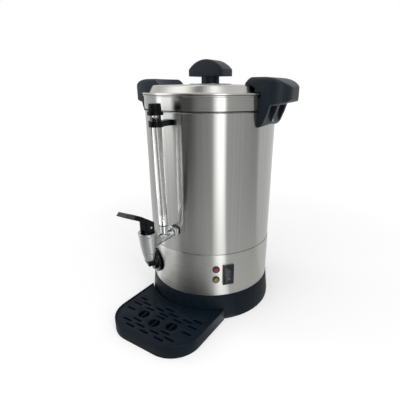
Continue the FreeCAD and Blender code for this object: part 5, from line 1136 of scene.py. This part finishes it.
@dataclass
class Studio:
    """The floor, the lights and the camera, at the photograph's angle."""

    image_side: float = 400.0
    focal_pixels: float = 326.09
    centre_pixel: tuple[float, float] = (210.35, 218.48)
    azimuth: float = 32.3
    distance: float = 0.58765
    height: float = 0.383
    pitch: float = 21.78
    sensor: float = 36.0
    floor_side: float = 30.0
    floor_colour: float = 0.55
    lift_near: float = 0.43
    lift_far: float = 0.8
    lift_from: float = 0.3
    lift_to: float = 1.5
    ambient: float = 0.5
    surround: Surround = field(default_factory=Surround)

    def build(self) -> None:
        """Build the whole studio."""
        self.build_camera()
        self.build_floor()
        self.build_world()
        self.build_lamps()
        bpy.context.scene.view_settings.view_transform = "Standard"

    def build_camera(self) -> None:
        """Stand the camera where the photograph was taken."""
        data = bpy.data.cameras.new("camera")
        data.sensor_width = self.sensor
        data.lens = self.focal_pixels / self.image_side * self.sensor
        data.shift_x = (self.image_side / 2 - self.centre_pixel[0]) / self.image_side
        data.shift_y = (self.centre_pixel[1] - self.image_side / 2) / self.image_side
        camera = bpy.data.objects.new("camera", data)
        angle = math.radians(self.azimuth)
        camera.location = (self.distance * math.sin(angle), -self.distance * math.cos(angle), self.height)
        camera.rotation_euler = (math.radians(90 - self.pitch), 0, angle)
        bpy.context.scene.collection.objects.link(camera)
        bpy.context.scene.camera = camera

    def build_floor(self) -> None:
        """Lay a pale floor that shows white to the camera and keeps the shadow."""
        mesh = bmesh.new()
        bmesh.ops.create_grid(mesh, x_segments=1, y_segments=1, size=self.floor_side / 2)
        data = bpy.data.meshes.new("floor")
        mesh.to_mesh(data)
        mesh.free()
        floor = bpy.data.objects.new("floor", data)
        bpy.context.scene.collection.objects.link(floor)
        shader = Shader("floor_paper")
        shader.constant(roughness=1.0, specular_ior_level=0.0, emission_color=grey(1.0))
        path = shader.node("LightPath").outputs
        mirrored = path["Is Glossy Ray"]
        shader.colour(shader.blend(mirrored, grey(self.floor_colour), grey(0.0)))
        seen = shader.math("MAXIMUM", path["Is Camera Ray"], path["Is Transmission Ray"])
        distance = shader.length(shader.coordinates)
        pale = shader.ramp(distance, self.lift_near, self.lift_far, self.lift_from, self.lift_to, "SMOOTHSTEP")
        lift = shader.math("MULTIPLY", seen, pale)
        cards = shader.math("MULTIPLY", self.surround.floor_level(shader, shader.coordinates), mirrored)
        shader.feed(shader.surface.inputs["Emission Strength"], shader.math("ADD", lift, cards))
        data.materials.append(shader.material)

    def build_world(self) -> None:
        """Surround the urn with soft light that shows white."""
        world = bpy.data.worlds.new("studio")
        bpy.context.scene.world = world
        world.use_nodes = True
        graph = Graph(world.node_tree)
        background = world.node_tree.nodes["Background"]
        path = graph.node("LightPath").outputs
        direction = graph.node("TexCoord").outputs["Generated"]
        level = graph.node("Mix", i0=path["Is Glossy Ray"], i2=self.ambient,
                           i3=self.surround.sky_level(graph, direction)).outputs[0]
        seen = graph.math("MAXIMUM", path["Is Camera Ray"], path["Is Transmission Ray"])
        level = graph.math("MAXIMUM", level, seen)
        background.inputs["Color"].default_value = (1, 1, 1, 1)
        graph.feed(background.inputs["Strength"], level)

    def build_lamps(self) -> None:
        """Hang the soft boxes."""
        self.lamp("overhead", azimuth=20, reach=0.4, height=1.6, size=(1.2, 1.2), power=13)
        self.lamp("left", azimuth=-75, reach=1.4, height=0.9, size=(0.5, 0.9), power=3.5)
        self.lamp("right", azimuth=60, reach=1.4, height=0.9, size=(0.5, 0.9), power=6)

    def lamp(self, name: str, azimuth: float, reach: float, height: float, size: tuple[float, float],
             power: float) -> None:
        """Hang one soft box that faces the urn's middle.

        Args:
            name: The lamp's name.
            azimuth: Degrees from the tap's side towards +X.
            reach: Distance from the urn's axis.
            height: Height above the floor.
            size: Width and height of its face.
            power: Its power in watts.
        """
        data = bpy.data.lights.new(name, "AREA")
        data.shape = "RECTANGLE"
        data.size, data.size_y = size
        data.energy = power
        lamp = bpy.data.objects.new(name, data)
        angle = math.radians(azimuth)
        lamp.location = (reach * math.sin(angle), -reach * math.cos(angle), height)
        aim = Vector((0, 0, 0.2)) - lamp.location
        lamp.rotation_euler = aim.to_track_quat("-Z", "Y").to_euler()
        lamp.visible_camera = False
        lamp.visible_glossy = False
        bpy.context.scene.collection.objects.link(lamp)


def main() -> None:
    """Build the urn's looks and the studio round it."""
    logging.basicConfig(level=logging.INFO)
    Studio().build()
    finishes = Finishes()
    finishes.dress_nodes()
    shop = Workshop(finishes)
    for assembly in (Casing(), Lid(), Handles(), Tap(), Gauge(), Controls(), Tray()):
        assembly.build(shop)
        LOG.info("%s built", type(assembly).__name__)


if __name__ == "__main__":
    main()
